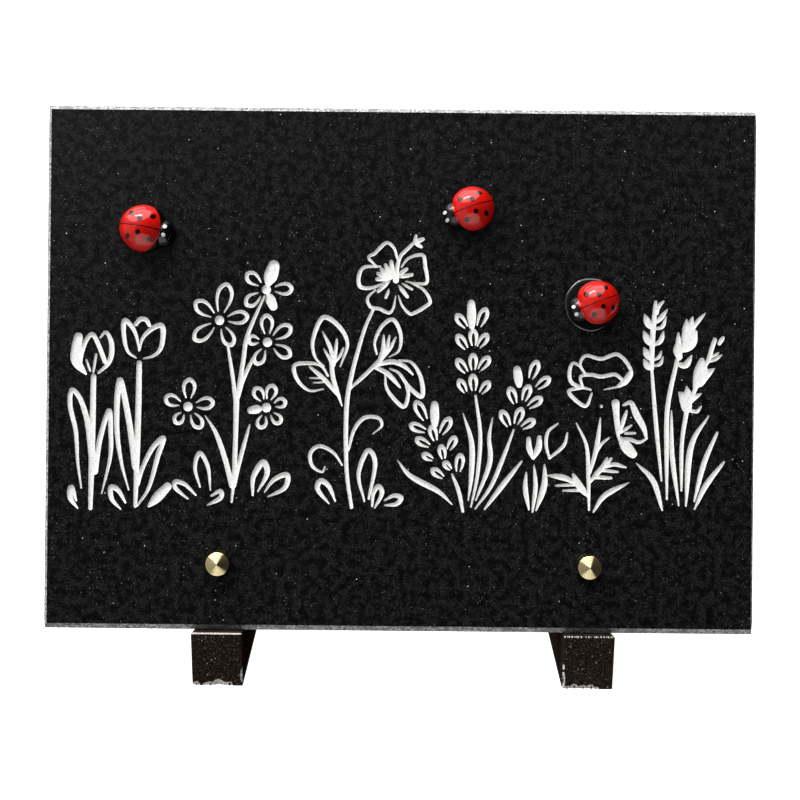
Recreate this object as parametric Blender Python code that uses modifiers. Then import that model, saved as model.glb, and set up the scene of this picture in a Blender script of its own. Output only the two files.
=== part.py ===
"""A granite grave plaque that leans back on two notched granite feet.

The polished front face carries a row of wild flowers, cut in as shallow strokes. Two brass screws hold
the plaque to its feet, and three glazed ladybirds are glued to the face. Lengths are in metres, +Z is up,
the front faces -Y, and the origin is the middle of the ground that the whole thing covers.
"""
import math

import bmesh
import bpy
from mathutils import Matrix, Vector
from mathutils.geometry import delaunay_2d_cdt

# Plaque
PLAQUE_WIDTH = 0.280
PLAQUE_HEIGHT = 0.207
PLAQUE_THICKNESS = 0.020
PLAQUE_LEAN = math.radians(15.0)
FRONT_CHAMFER = 0.0022
BACK_CHAMFER = 0.0010
ENGRAVING_DEPTH = 0.0007

# Feet
FOOT_WIDTH = 0.020
FOOT_DEPTH = 0.080
FOOT_FRONT_HEIGHT = 0.0225
FOOT_LEDGE = 0.005
FOOT_SEAT_HEIGHT = 0.048
FOOT_TOP_DEPTH = 0.010
FOOT_BACK_HEIGHT = 0.012
FOOT_BEVEL = 0.0008
FOOT_SPACING = 0.146
FOOT_OFFSET = 0.002
# Chips along the bottom front edge: places and half lengths as shares of the foot's width
CHIP_HEIGHT = 0.0024
CHIP_DEPTH = 0.0016
CHIP_DROP_SHARE = 0.12
CHIPS = ((-0.36, 0.12), (-0.06, 0.23), (0.20, 0.11))

# Screws
SCREW_RISE = 0.0265
SCREW_HEAD_DIAMETER = 0.0100
SCREW_RIM_HEIGHT = 0.0042
SCREW_CONE_HEIGHT = 0.0018
SCREW_SHANK_DIAMETER = 0.0040
SCREW_HOLD = 0.012

# Ladybirds: their diameters, the shapes they share, and for each one its place from the plaque's middle
# and bottom edge as shares of the plaque's width and height, and the turn of its head from the plaque's +X
LADYBIRD_LEFT_SIZE = 0.0192
LADYBIRD_MIDDLE_SIZE = 0.0179
LADYBIRD_RIGHT_SIZE = 0.0178
LADYBIRD_HEIGHT_SHARE = 0.52
LADYBIRD_WIDTH_SHARE = 0.97
WING_GROOVE_SHARE = 0.045
HEAD_PLACE_SHARE = 0.41
HEAD_LENGTH_SHARE = 0.52
HEAD_WIDTH_SHARE = 0.56
HEAD_HEIGHT_SHARE = 0.32
LADYBIRDS = {
    "ladybird_left": (-0.363, 0.764, LADYBIRD_LEFT_SIZE, math.radians(-13.8)),
    "ladybird_middle": (0.099, 0.808, LADYBIRD_MIDDLE_SIZE, math.radians(199.0)),
    "ladybird_right": (0.276, 0.631, LADYBIRD_RIGHT_SIZE, math.radians(201.0)),
}
GLUE_PAD_THICKNESS = 0.0010
GLUE_PAD_GROWTH = 0.0018
GLUE_PAD_LEFT_SHIFT = 0.0022
GLUE_PAD_DOWN_SHIFT = 0.0007

# Fits
GAP = 0.0003
HOLE_PLAY = 0.0004
CUT_PAST = 0.004

# Drawing of the flowers: its own steps are 1/280 of the plaque's width and 1/207 of its height
DRAWING_WIDTH = 280.0
DRAWING_HEIGHT = 207.0
CURVE_STEPS = 6
END_STEPS = 2
END_BULGE = 0.9
DOT_SIDES = 8
OUTLINE_TOLERANCE = 0.34
SMALLEST_AREA = 0.30
SMALLEST_TURN = 1e-6
CLOSE = 1e-4
DRAW_BACK = 0.15

# Fineness of the round pieces
TURNED_SIDES = 18
DOME_SIDES = 20
DOME_RINGS = 10


# Scene

def clear_scene():
    """Remove the objects that the file opened with."""
    for item in list(bpy.data.objects):
        bpy.data.objects.remove(item, do_unlink=True)


def new_collection(name):
    """A collection under the scene."""
    collection = bpy.data.collections.new(name)
    bpy.context.scene.collection.children.link(collection)
    return collection


def material(name, colour, roughness, metallic=0.0):
    """A plain Principled material."""
    made = bpy.data.materials.new(name)
    made.use_nodes = True
    shader = made.node_tree.nodes["Principled BSDF"]
    shader.inputs["Base Color"].default_value = (*colour, 1.0)
    shader.inputs["Roughness"].default_value = roughness
    shader.inputs["Metallic"].default_value = metallic
    return made


def mesh_object(name, bm, collection, finish=None, parent=None):
    """An object from a bmesh, with its faces turned outward."""
    bmesh.ops.recalc_face_normals(bm, faces=bm.faces)
    mesh = bpy.data.meshes.new(name)
    bm.to_mesh(mesh)
    bm.free()
    made = bpy.data.objects.new(name, mesh)
    collection.objects.link(made)
    if finish:
        mesh.materials.append(finish)
    if parent:
        made.parent = parent
    return made


def cutter_object(name, bm, collection, parent=None):
    """A shape that only cuts others."""
    made = mesh_object(name, bm, collection, parent=parent)
    made.hide_render = True
    made.display_type = "WIRE"
    return made


def combine(target, other, operation):
    """Cut another shape out of the target, or join it on."""
    step = target.modifiers.new(other.name, "BOOLEAN")
    step.operation = operation
    step.solver = "EXACT"
    step.object = other


def bevel(target, width, segments=1):
    """Take the sharp edges off."""
    step = target.modifiers.new("edges", "BEVEL")
    step.width = width
    step.segments = segments
    step.limit_method = "ANGLE"
    step.angle_limit = math.radians(30.0)


def extruded_outline(points, thickness):
    """A flat outline in the YZ plane, made solid across X, as a bmesh."""
    bm = bmesh.new()
    outline = bm.faces.new([bm.verts.new((-thickness / 2.0, y, z)) for y, z in points])
    raised = bmesh.ops.extrude_face_region(bm, geom=[outline])
    lifted = [item for item in raised["geom"] if isinstance(item, bmesh.types.BMVert)]
    bmesh.ops.translate(bm, vec=(thickness, 0.0, 0.0), verts=lifted)
    return bm


def turned_profile(profile, sides, length_axis=Matrix.Identity(4)):
    """A closed turned shape from (radius, height) pairs that start and end on the axis."""
    bm = bmesh.new()
    rings = []
    for radius, height in profile:
        if radius == 0.0:
            rings.append([bm.verts.new((0.0, 0.0, height))])
            continue
        turns = [2.0 * math.pi * step / sides for step in range(sides)]
        rings.append([bm.verts.new((radius * math.cos(a), radius * math.sin(a), height)) for a in turns])
    for lower, upper in zip(rings, rings[1:]):
        for step in range(sides):
            following = (step + 1) % sides
            corners = [lower[step % len(lower)], lower[following % len(lower)]]
            corners += [upper[following % len(upper)], upper[step % len(upper)]]
            bm.faces.new(list(dict.fromkeys(corners)))
    bm.transform(length_axis)
    return bm


# Drawing tools: points are in drawing steps, right of the plaque's middle and up from its bottom edge

class Drawing:
    """Collects the strokes that are cut into the face."""

    def __init__(self):
        self.corners = []
        self.pieces = []

    def stroke(self, points, widths):
        """A line along a smooth path, with its width at the start, the middle and the end."""
        path = smooth(points)
        travelled = [0.0]
        for before, after in zip(path, path[1:]):
            travelled.append(travelled[-1] + (after - before).length)
        first = len(self.corners)
        for index, place in enumerate(path):
            heading = (path[min(index + 1, len(path) - 1)] - path[max(index - 1, 0)]).normalized()
            half = width_at(travelled[index] / travelled[-1], widths) / 2.0
            across = Vector((-heading.y, heading.x)) * half
            self.corners += [place + across, place - across]
        for at in range(first, first + 2 * len(path) - 2, 2):
            self.triangle(at + 1, at + 3, at + 2)
            self.triangle(at + 1, at + 2, at)
        last = first + 2 * len(path) - 2
        self.round_end(first, first + 1, path[0] - path[1])
        self.round_end(last + 1, last, path[-1] - path[-2])

    def triangle(self, a, b, c):
        """A filled triangle; where a line turns sharply its corners are given the other way round."""
        start = self.corners[a]
        turn = (self.corners[b] - start).cross(self.corners[c] - start)
        if abs(turn) > SMALLEST_TURN:
            self.pieces.append((a, b, c) if turn > 0.0 else (a, c, b))

    def round_end(self, first, last, outward):
        """A half-round end on a stroke, between its last two corners."""
        start, end = self.corners[first], self.corners[last]
        middle, across = (start + end) / 2.0, (start - end) / 2.0
        ahead = outward.normalized() * across.length * END_BULGE
        added = len(self.corners)
        for step in range(1, END_STEPS):
            turn = math.pi * step / END_STEPS
            self.corners.append(middle + across * math.cos(turn) + ahead * math.sin(turn))
        self.pieces.append((first, *range(added, len(self.corners)), last))

    def petal(self, foot, tip, width, foot_share=0.25):
        """A filled petal: narrow at its foot, widest towards its round tip."""
        foot, tip = Vector(foot), Vector(tip)
        way = (tip - foot).normalized()
        last = tip - way * width * 0.36
        self.stroke([foot, foot.lerp(last, 0.5), last], (width * foot_share, width * 0.88, width * 0.72))

    def loop(self, foot, tip, width, weight, opening=0.5):
        """A petal drawn as a line that runs out, round the tip and back, open towards its foot."""
        foot, tip = Vector(foot), Vector(tip)
        out = (tip - foot).normalized()
        side = Vector((-out.y, out.x)) * width / 2.0
        length = (tip - foot).length - weight / 2.0
        shape = ((opening, 0.0), (0.95, 0.42), (0.88, 0.78), (0.0, 1.0))
        half = [foot + side * across + out * length * ahead for across, ahead in shape]
        other = [foot - side * across + out * length * ahead for across, ahead in reversed(shape[:-1])]
        self.stroke(half + other, (weight * 0.35, weight, weight * 0.35))

    def dot(self, centre, diameter):
        """A filled round spot."""
        first = len(self.corners)
        for step in range(DOT_SIDES):
            self.corners.append(polar(centre, 360.0 * step / DOT_SIDES, diameter / 2.0))
        self.pieces.append(tuple(range(first, first + DOT_SIDES)))


def smooth(points):
    """Close points on a curve that passes through the given ones."""
    given = [Vector(point) for point in points]
    padded = [given[0] * 2.0 - given[1]] + given + [given[-1] * 2.0 - given[-2]]
    path = []
    for a, b, c, d in zip(padded, padded[1:], padded[2:], padded[3:]):
        for step in range(CURVE_STEPS):
            t = step / CURVE_STEPS
            bend = (a * 2.0 - b * 5.0 + c * 4.0 - d) * t * t + (b * 3.0 - a - c * 3.0 + d) * t ** 3
            path.append((b * 2.0 + (c - a) * t + bend) * 0.5)
    return path + [given[-1]]


def thin_out(path, tolerance):
    """Leave out the points that lie nearly on the line between those that stay."""
    if len(path) < 3:
        return path
    start, end = path[0], path[-1]
    along = (end - start).normalized() if (end - start).length > 0.0 else Vector((1.0, 0.0))
    offsets = [abs(along.x * (p - start).y - along.y * (p - start).x) for p in path]
    furthest = max(range(len(path)), key=offsets.__getitem__)
    if offsets[furthest] <= tolerance:
        return [start, end]
    return thin_out(path[:furthest + 1], tolerance)[:-1] + thin_out(path[furthest:], tolerance)


def width_at(share, widths):
    """A stroke's width at a share of its length."""
    first, middle, last = widths
    if share < 0.5:
        return first + (middle - first) * math.sin(math.pi * share)
    return last + (middle - last) * math.sin(math.pi * share)


def polar(centre, angle, reach):
    """The point at a distance from a centre, in a direction given in degrees."""
    turn = math.radians(angle)
    return Vector(centre) + Vector((math.cos(turn), math.sin(turn))) * reach


# Flowers

def tulips(drawing):
    """Two tulips with folded petals, and their sword leaves."""
    strokes = (
        # The stems, and the sword leaves, each as one line from foot to tip and back
        ([(-121.1, 99.8), (-121.3, 81.0), (-121.8, 47.6)], (2.1, 2.4, 1.6)),
        ([(-103.1, 105.2), (-103.3, 86.0), (-104.1, 48.6)], (2.1, 2.4, 1.4)),
        ([(-125.5, 55.6), (-127.0, 66.0), (-127.9, 78.0), (-130.2, 88.0), (-129.6, 94.2), (-126.2, 90.6),
          (-123.3, 81.6), (-121.4, 68.0)], (0.6, 1.9, 2.6)),
        ([(-120.2, 62.0), (-118.4, 74.6), (-114.9, 86.2), (-114.1, 78.0), (-114.2, 68.0),
          (-117.4, 53.4)], (2.4, 1.9, 0.5)),
        ([(-106.8, 55.0), (-109.8, 66.0), (-111.6, 78.0), (-111.7, 90.0), (-110.7, 98.3), (-109.0, 92.6),
          (-106.5, 79.6), (-104.3, 64.0)], (0.6, 2.3, 2.4)),
        ([(-103.3, 57.0), (-101.2, 64.2), (-97.4, 71.8), (-93.2, 75.6), (-95.4, 68.4), (-98.8, 56.0),
          (-103.3, 48.8)], (1.5, 2.0, 0.8)),
        # The left head: a filled petal, the middle petal, the right petal and two anthers
        ([(-127.2, 115.4), (-128.0, 110.6), (-127.9, 105.6), (-124.1, 100.6)], (3.4, 4.2, 0.8)),
        ([(-126.2, 103.0), (-125.9, 108.0), (-124.3, 113.6), (-121.7, 116.2), (-119.2, 112.0),
          (-116.6, 105.4)], (1.0, 1.8, 1.8)),
        ([(-118.6, 115.0), (-116.4, 117.2), (-114.3, 113.6), (-114.1, 108.6), (-115.4, 104.8),
          (-119.2, 101.0)], (0.8, 2.1, 0.9)),
        ([(-124.0, 106.2), (-122.4, 101.8)], (0.9, 0.9, 0.7)),
        ([(-120.2, 108.4), (-121.2, 101.2)], (1.0, 1.1, 0.7)),
        # The right head: the left petal, the arch behind, and the wide right petal
        ([(-104.4, 107.2), (-107.6, 109.6), (-109.2, 115.2), (-109.2, 121.8), (-106.4, 119.8),
          (-104.3, 115.6), (-103.2, 110.0)], (0.7, 1.9, 0.6)),
        ([(-104.7, 120.4), (-102.8, 122.4), (-100.6, 122.2), (-99.2, 120.0)], (1.6, 1.9, 1.4)),
        ([(-103.1, 110.2), (-101.8, 115.0), (-98.2, 118.7), (-94.5, 120.0), (-93.8, 116.4), (-94.8, 110.8),
          (-97.8, 107.9), (-101.4, 106.9)], (0.7, 2.1, 0.6)),
        # Young leaves at the ground
        ([(-126.9, 47.6), (-129.8, 51.8), (-129.4, 55.8), (-127.4, 50.6)], (0.6, 2.3, 0.7)),
        ([(-109.9, 47.4), (-113.4, 51.4), (-113.8, 55.9), (-110.9, 54.8), (-108.0, 50.0)], (0.6, 2.1, 0.8)),
    )
    for points, widths in strokes:
        drawing.stroke(points, widths)
    drawing.petal((-98.8, 48.6), (-90.2, 57.8), 4.4)


def daisies(drawing):
    """Five five-petalled daisies on one branching stem; some petals of theirs are filled."""
    for points, widths in (
            ([(-66.1, 50.6), (-65.3, 60.0), (-64.8, 76.0), (-64.6, 93.0)], (0.9, 1.9, 2.4)),
            ([(-66.0, 57.0), (-69.0, 68.0), (-72.6, 77.8), (-76.9, 84.6)], (2.2, 2.0, 0.5)),
            ([(-65.4, 57.0), (-62.9, 67.6), (-59.3, 81.0)], (2.0, 1.7, 0.8)),
            ([(-64.9, 90.0), (-66.0, 99.0), (-68.2, 112.4)], (1.6, 1.5, 0.9)),
            ([(-64.3, 92.0), (-62.0, 107.0), (-61.0, 114.6), (-58.6, 121.4), (-53.9, 132.0)],
             (1.8, 1.7, 0.8)),
            ([(-64.1, 92.0), (-61.8, 99.6), (-58.2, 107.4)], (1.8, 1.7, 1.3))):
        drawing.stroke(points, widths)
    # Each head: its centre, then the directions and reaches of its outlined petals and of its filled ones
    heads = (
        ((-71.6, 122.3), ((79, 15.3), (143, 12.5), (218, 13.1), (297, 11.6), (9, 11.9)), ()),
        ((-53.2, 134.6), ((141, 10.5), (3, 10.8), (217, 10.6)), ((73, 12.3), (293, 9.0))),
        ((-52.6, 113.8), ((92, 11.4), (35, 11.7), (330, 11.1), (243, 10.2), (172, 8.3)), ()),
        ((-83.7, 88.1), ((87, 11.5), (159, 10.2), (233, 8.7), (302, 10.3), (11, 10.8)), ()),
        ((-52.7, 88.0), ((120, 9.5), (74, 9.8), (19, 8.6), (313, 8.7), (253, 9.0)), ((190, 7.8),)),
    )
    for centre, outlined, filled in heads:
        drawing.dot(centre, 3.7)
        for direction, reach in outlined:
            width = reach * 0.34 + 0.4
            drawing.loop(polar(centre, direction, 3.5), polar(centre, direction, reach), width, 1.6, 0.45)
        for direction, reach in filled:
            drawing.petal(polar(centre, direction, 1.6), polar(centre, direction, reach), reach * 0.5)
    # Young leaves at the ground, each one line round its tip
    for points, widths in (
            ([(-83.3, 51.7), (-88.2, 55.8), (-88.4, 58.4), (-84.6, 57.4), (-80.2, 53.2)], (0.6, 1.8, 0.7)),
            ([(-78.6, 56.4), (-80.7, 64.0), (-78.9, 69.9), (-75.6, 64.4), (-74.5, 55.2)], (0.7, 1.7, 0.5)),
            ([(-74.1, 53.0), (-70.6, 54.9), (-70.5, 52.2), (-75.6, 49.3)], (0.8, 1.9, 0.6)),
            ([(-57.8, 53.4), (-57.6, 60.6), (-53.8, 66.4), (-52.2, 62.0), (-55.8, 54.8)], (0.8, 2.4, 0.6)),
            ([(-53.2, 54.6), (-49.4, 59.6), (-44.3, 61.5), (-45.2, 56.4), (-51.8, 52.8)], (0.6, 2.1, 0.6))):
        drawing.stroke(points, widths)


def hibiscus(drawing):
    """The tall flower in the middle, with five ruffled petals, veined leaves and tendrils."""
    strokes = (
        # The five petals, from the one at the upper left and round to the left
        ([(-1.6, 147.4), (-2.9, 151.4), (-5.6, 153.6), (-8.4, 151.6), (-10.6, 149.2), (-13.0, 147.6),
          (-9.8, 144.2)], (0.9, 1.4, 0.8)),
        ([(-8.2, 144.1), (-14.6, 143.8), (-16.7, 140.4), (-16.2, 136.2), (-11.6, 135.7), (-5.6, 138.2)],
         (0.8, 1.6, 0.7)),
        ([(-10.1, 134.9), (-13.2, 131.6), (-12.0, 128.2), (-8.4, 127.4), (-4.6, 125.9), (-2.9, 128.2),
          (-2.1, 132.6)], (0.8, 1.4, 0.5)),
        ([(-1.0, 132.6), (0.6, 128.6), (3.6, 125.6), (5.8, 126.2), (9.2, 128.2), (11.5, 130.6), (8.8, 135.2),
          (3.0, 138.2)], (0.6, 1.5, 0.6)),
        ([(0.0, 144.0), (3.0, 147.6), (8.4, 148.8), (9.4, 144.6), (10.2, 138.2), (6.4, 137.6), (1.8, 138.3)],
         (0.8, 1.5, 0.6)),
        # The pistil, the stem, the tendrils and the stalks
        ([(-2.1, 138.6), (-1.6, 144.0), (-0.4, 148.2), (2.4, 151.2), (5.2, 154.0)], (2.4, 1.5, 1.3)),
        ([(-10.9, 127.2), (-14.6, 118.4), (-19.1, 101.6), (-21.1, 88.0), (-20.9, 64.7), (-18.8, 49.0)],
         (1.2, 1.8, 1.4)),
        ([(-20.2, 71.6), (-17.9, 79.8), (-13.8, 84.4), (-8.4, 84.3), (-7.2, 81.2), (-10.6, 78.0)],
         (0.9, 1.6, 0.5)),
        ([(-22.6, 65.6), (-26.2, 70.6), (-31.6, 73.0), (-35.2, 70.2), (-34.4, 65.2), (-30.6, 62.8),
          (-29.4, 64.8)], (0.7, 1.6, 0.7)),
        ([(-27.2, 106.4), (-26.4, 99.6), (-22.9, 89.0)], (1.8, 1.8, 0.5)),
        ([(-20.0, 95.6), (-13.4, 101.8), (-7.0, 108.4)], (1.0, 1.6, 1.8)),
        # The outlines of the leaves
        ([(-30.1, 104.4), (-33.8, 108.4), (-34.6, 115.0), (-30.8, 123.7), (-24.6, 120.6), (-21.0, 113.6),
          (-23.7, 104.5)], (0.6, 1.9, 0.6)),
        ([(-28.5, 100.8), (-31.6, 104.9), (-37.6, 105.7), (-42.0, 104.4), (-40.4, 98.8), (-35.8, 94.9),
          (-30.3, 95.5)], (0.8, 1.6, 0.6)),
        ([(-9.3, 109.4), (-10.2, 114.4), (-7.4, 120.6), (-3.0, 123.2), (0.0, 117.4), (-0.6, 111.2),
          (-4.4, 108.4)], (0.7, 1.6, 0.6)),
        ([(-0.6, 107.2), (4.6, 106.2), (8.2, 100.2), (8.6, 93.0), (3.4, 96.8), (-0.4, 102.0),
          (-4.0, 103.8)], (0.7, 1.8, 0.8)),
        ([(-6.0, 101.2), (-5.0, 95.4), (1.2, 88.9), (3.2, 93.6), (2.4, 97.6)], (0.7, 1.6, 1.3)),
        # Their veins
        ([(-26.6, 105.0), (-27.6, 111.4), (-30.8, 118.2)], (2.0, 1.6, 0.6)),
        ([(-26.6, 105.4), (-25.7, 110.0), (-25.2, 115.2)], (2.0, 1.5, 0.8)),
        ([(-27.2, 106.0), (-28.6, 108.6), (-30.3, 111.4)], (1.6, 1.1, 0.7)),
        ([(-26.2, 106.2), (-24.0, 108.6), (-22.5, 111.8)], (1.6, 1.3, 0.7)),
        ([(-35.9, 104.4), (-30.4, 99.8), (-24.6, 93.4)], (0.9, 1.8, 1.4)),
        ([(-35.8, 99.9), (-33.0, 99.8), (-30.4, 100.0)], (0.6, 0.8, 0.8)),
        ([(-34.2, 98.0), (-31.8, 98.1), (-29.0, 98.6)], (0.6, 0.8, 0.8)),
        ([(-8.0, 107.2), (-6.9, 112.0), (-6.7, 117.0)], (2.0, 1.6, 0.8)),
        ([(-7.0, 108.8), (-5.3, 112.6), (-4.4, 116.8)], (1.6, 1.4, 0.8)),
        ([(-6.8, 108.6), (-4.2, 111.8), (-1.9, 116.2)], (1.6, 1.4, 0.7)),
        ([(-10.2, 105.0), (-3.4, 106.6), (1.6, 104.8), (5.0, 101.6)], (1.4, 2.0, 0.7)),
        ([(-11.0, 104.6), (-5.2, 102.0), (0.1, 96.4)], (1.0, 2.0, 0.7)),
        # Young leaves at the ground
        ([(-27.7, 50.4), (-32.2, 56.0), (-31.0, 59.3), (-27.8, 57.2), (-25.2, 51.4)], (0.6, 2.1, 0.7)),
        ([(-13.7, 51.4), (-16.1, 62.0), (-12.6, 71.4), (-9.6, 66.4), (-12.0, 52.4)], (0.7, 1.9, 0.9)),
        ([(-10.6, 49.5), (-10.2, 54.6), (-8.2, 57.4), (-6.8, 54.6), (-9.6, 48.8)], (0.8, 1.9, 0.7)),
        ([(-5.8, 51.8), (-2.0, 53.8), (0.8, 52.8), (-1.2, 50.4), (-5.6, 49.9)], (0.6, 1.9, 0.7)),
    )
    for points, widths in strokes:
        drawing.stroke(points, widths)
    # The veins round the middle: their directions, reaches and widths
    centre = (-3.2, 139.6)
    for direction, start, reach, width in (
            (97, 0.0, 7.4, 2.2), (121, 0.0, 6.8, 2.2), (144, 0.0, 6.6, 2.2), (164, 0.0, 7.0, 2.2),
            (184, 0.0, 7.2, 2.2), (222, 1.6, 8.6, 1.9), (250, 4.6, 8.8, 1.5), (308, 3.6, 10.0, 1.9),
            (330, 4.0, 9.2, 1.3), (34, 2.0, 7.2, 1.9), (11, 2.0, 8.3, 1.9)):
        drawing.petal(polar(centre, direction, start), polar(centre, direction, reach), width)
    for tip, width in (((5.9, 157.0), 1.6), ((9.2, 155.4), 2.1), ((8.4, 151.8), 1.9)):
        drawing.petal((5.0, 153.8), tip, width, 0.5)


def lavenders(drawing):
    """Three spikes of lavender that share one tuft of grass."""
    # The open florets, from foot to tip: of the tall spike, the left one and the right one
    florets = (
        ((25.8, 120.6), (21.6, 125.8)), ((30.9, 121.0), (33.8, 128.4)),
        ((28.9, 113.4), (28.5, 120.1)), ((25.9, 112.2), (22.0, 117.7)), ((30.9, 112.8), (34.5, 118.2)),
        ((28.8, 103.8), (28.6, 110.4)), ((26.0, 102.8), (22.0, 108.1)), ((31.3, 103.8), (35.3, 109.2)),
        ((29.1, 95.6), (28.6, 102.2)), ((25.8, 95.0), (22.9, 100.1)), ((31.9, 94.6), (35.4, 99.4)),
        ((10.0, 84.0), (6.0, 91.4)), ((10.0, 79.4), (3.6, 82.0)), ((14.1, 75.8), (12.2, 81.8)),
        ((16.4, 78.4), (20.1, 85.0)), ((11.6, 73.6), (6.0, 76.5)), ((19.4, 72.2), (22.2, 77.6)),
        ((17.4, 68.6), (16.2, 74.2)), ((13.0, 68.2), (8.7, 70.4)), ((23.3, 63.6), (24.2, 70.8)),
        ((20.2, 64.4), (17.2, 67.5)), ((17.2, 61.2), (12.4, 64.6)),
        ((51.6, 100.6), (54.2, 107.8)), ((54.0, 96.8), (59.3, 101.2)), ((45.4, 90.8), (43.0, 97.2)),
        ((48.9, 91.8), (51.1, 98.2)), ((50.8, 89.2), (56.3, 93.2)), ((43.0, 81.8), (39.8, 88.0)),
        ((45.9, 82.6), (48.2, 89.2)), ((48.4, 81.0), (53.5, 84.4)),
    )
    for foot, tip in florets:
        length = (Vector(tip) - Vector(foot)).length
        drawing.loop(foot, tip, length * 0.32 + 0.4, 1.6, 0.55)
    # The filled crests
    crests = (((28.1, 120.8), (27.7, 131.6)), ((13.8, 81.6), (13.6, 91.4)), ((47.0, 97.8), (45.9, 105.6)))
    for foot, tip in crests:
        drawing.petal(foot, tip, 4.1, 0.55)
    # The stems and the grass
    for points, widths in (
            ([(29.8, 93.4), (31.8, 78.0), (30.8, 62.0), (28.4, 49.6)], (1.0, 1.6, 0.7)),
            ([(20.8, 62.4), (23.4, 56.0), (25.2, 47.8)], (0.9, 1.6, 1.1)),
            ([(45.0, 80.2), (41.2, 69.8), (36.2, 57.8), (30.1, 48.9)], (0.8, 1.7, 0.7)),
            ([(24.9, 86.6), (28.4, 75.0), (28.4, 62.0), (27.3, 52.2)], (0.4, 2.2, 0.5)),
            ([(36.6, 84.8), (35.3, 77.0), (35.6, 67.0), (30.3, 52.2)], (0.5, 2.0, 0.6)),
            ([(48.3, 67.8), (40.6, 58.0), (33.8, 48.8)], (0.7, 2.1, 0.8)),
            ([(-0.8, 67.7), (4.4, 61.6), (15.4, 55.6), (20.9, 50.5)], (0.4, 2.3, 0.5))):
        drawing.stroke(points, widths)


def buds(drawing):
    """Two closed buds among three blades of grass."""
    for points, widths in (
            ([(50.9, 76.8), (51.2, 73.0), (52.6, 68.8)], (1.7, 2.3, 0.7)),
            ([(55.1, 77.4), (54.9, 73.4), (52.9, 68.8)], (1.7, 2.6, 0.7)),
            ([(62.4, 82.8), (58.6, 79.6), (57.8, 74.6), (59.2, 69.1)], (0.7, 1.4, 1.0)),
            ([(66.2, 79.2), (64.8, 74.2), (59.2, 69.1)], (0.7, 1.4, 1.0)),
            ([(50.1, 63.4), (49.8, 57.0), (51.3, 48.7)], (0.6, 2.0, 0.6)),
            ([(53.1, 66.3), (53.8, 58.0), (52.7, 47.8)], (0.6, 1.8, 0.7)),
            ([(57.3, 66.5), (57.2, 58.4), (54.1, 48.4)], (0.7, 2.5, 0.6))):
        drawing.stroke(points, widths)


def poppy(drawing):
    """An open poppy seen from below, with its bud, feathered leaves and one blade of grass."""
    strokes = (
        # The flower
        ([(73.2, 102.3), (71.0, 106.2), (73.2, 109.7), (79.2, 108.5), (86.0, 110.2), (91.2, 103.6),
          (88.4, 98.6), (80.6, 96.3)], (1.0, 1.5, 0.6)),
        ([(90.4, 103.0), (88.9, 99.8), (86.0, 97.9)], (1.4, 2.6, 1.0)),
        ([(71.9, 97.8), (71.2, 101.4), (75.4, 102.2), (79.4, 101.5), (84.6, 102.4), (87.4, 100.6)],
         (1.0, 1.5, 1.4)),
        ([(71.2, 105.4), (68.2, 106.7), (66.8, 103.4), (68.0, 98.8), (75.4, 96.2)], (0.9, 1.6, 0.7)),
        ([(72.2, 97.1), (66.6, 95.6), (70.2, 91.4), (73.6, 90.0), (75.7, 94.8)], (1.1, 1.6, 0.8)),
        # The stem, its twigs and the blade of grass
        ([(69.7, 83.1), (73.8, 74.0), (74.6, 62.0), (75.0, 48.8)], (0.6, 1.6, 0.9)),
        ([(75.2, 63.4), (77.8, 73.8), (79.2, 85.2)], (1.1, 1.9, 0.6)),
        ([(77.6, 71.6), (79.8, 75.0), (82.7, 77.4)], (1.4, 1.2, 0.7)),
        ([(76.7, 48.0), (81.2, 54.6), (90.7, 59.8)], (0.7, 2.2, 0.4)),
        # The ribs and the barbs of the two feathered leaves
        ([(75.2, 59.8), (78.8, 64.2), (83.6, 69.2)], (1.2, 2.1, 1.1)),
        ([(79.8, 65.6), (82.0, 69.4)], (1.4, 1.3, 0.8)),
        ([(80.2, 65.6), (84.8, 66.9), (89.5, 65.7)], (1.2, 1.7, 0.7)),
        ([(79.8, 64.6), (86.2, 63.9)], (1.4, 1.3, 0.9)),
        ([(77.4, 61.8), (83.7, 61.5)], (1.6, 1.5, 1.0)),
        ([(74.7, 54.1), (71.2, 58.2), (68.6, 62.8)], (1.0, 2.9, 1.2)),
        ([(69.6, 59.5), (64.5, 61.6), (58.5, 62.3)], (1.4, 2.3, 0.6)),
        ([(70.0, 58.8), (61.7, 58.3)], (1.4, 1.2, 0.7)),
        ([(71.0, 56.5), (64.6, 56.4)], (1.2, 1.1, 0.8)),
    )
    for points, widths in strokes:
        drawing.stroke(points, widths)
    drawing.dot((79.5, 89.8), 1.3)


def butterfly(drawing):
    """A butterfly with folded wings beside the poppy."""
    for points, widths in (
            ([(86.4, 77.6), (85.7, 84.0), (85.1, 91.2)], (1.2, 2.3, 3.2)),
            ([(88.1, 90.3), (91.2, 91.2), (93.4, 86.6), (96.2, 81.6), (97.5, 77.2)], (0.9, 2.7, 0.9)),
            ([(97.5, 77.2), (94.4, 75.7), (90.8, 76.8), (86.8, 76.8)], (0.9, 1.5, 1.5)),
            ([(86.8, 79.6), (89.5, 88.0)], (1.2, 1.7, 1.0)),
            ([(87.3, 79.6), (91.5, 82.4)], (1.2, 1.2, 0.8)),
            ([(89.0, 79.2), (93.0, 79.3)], (1.1, 1.1, 0.8)),
            ([(87.2, 77.0), (90.4, 72.8), (92.2, 71.0)], (2.0, 4.4, 3.4))):
        drawing.stroke(points, widths)


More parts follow.
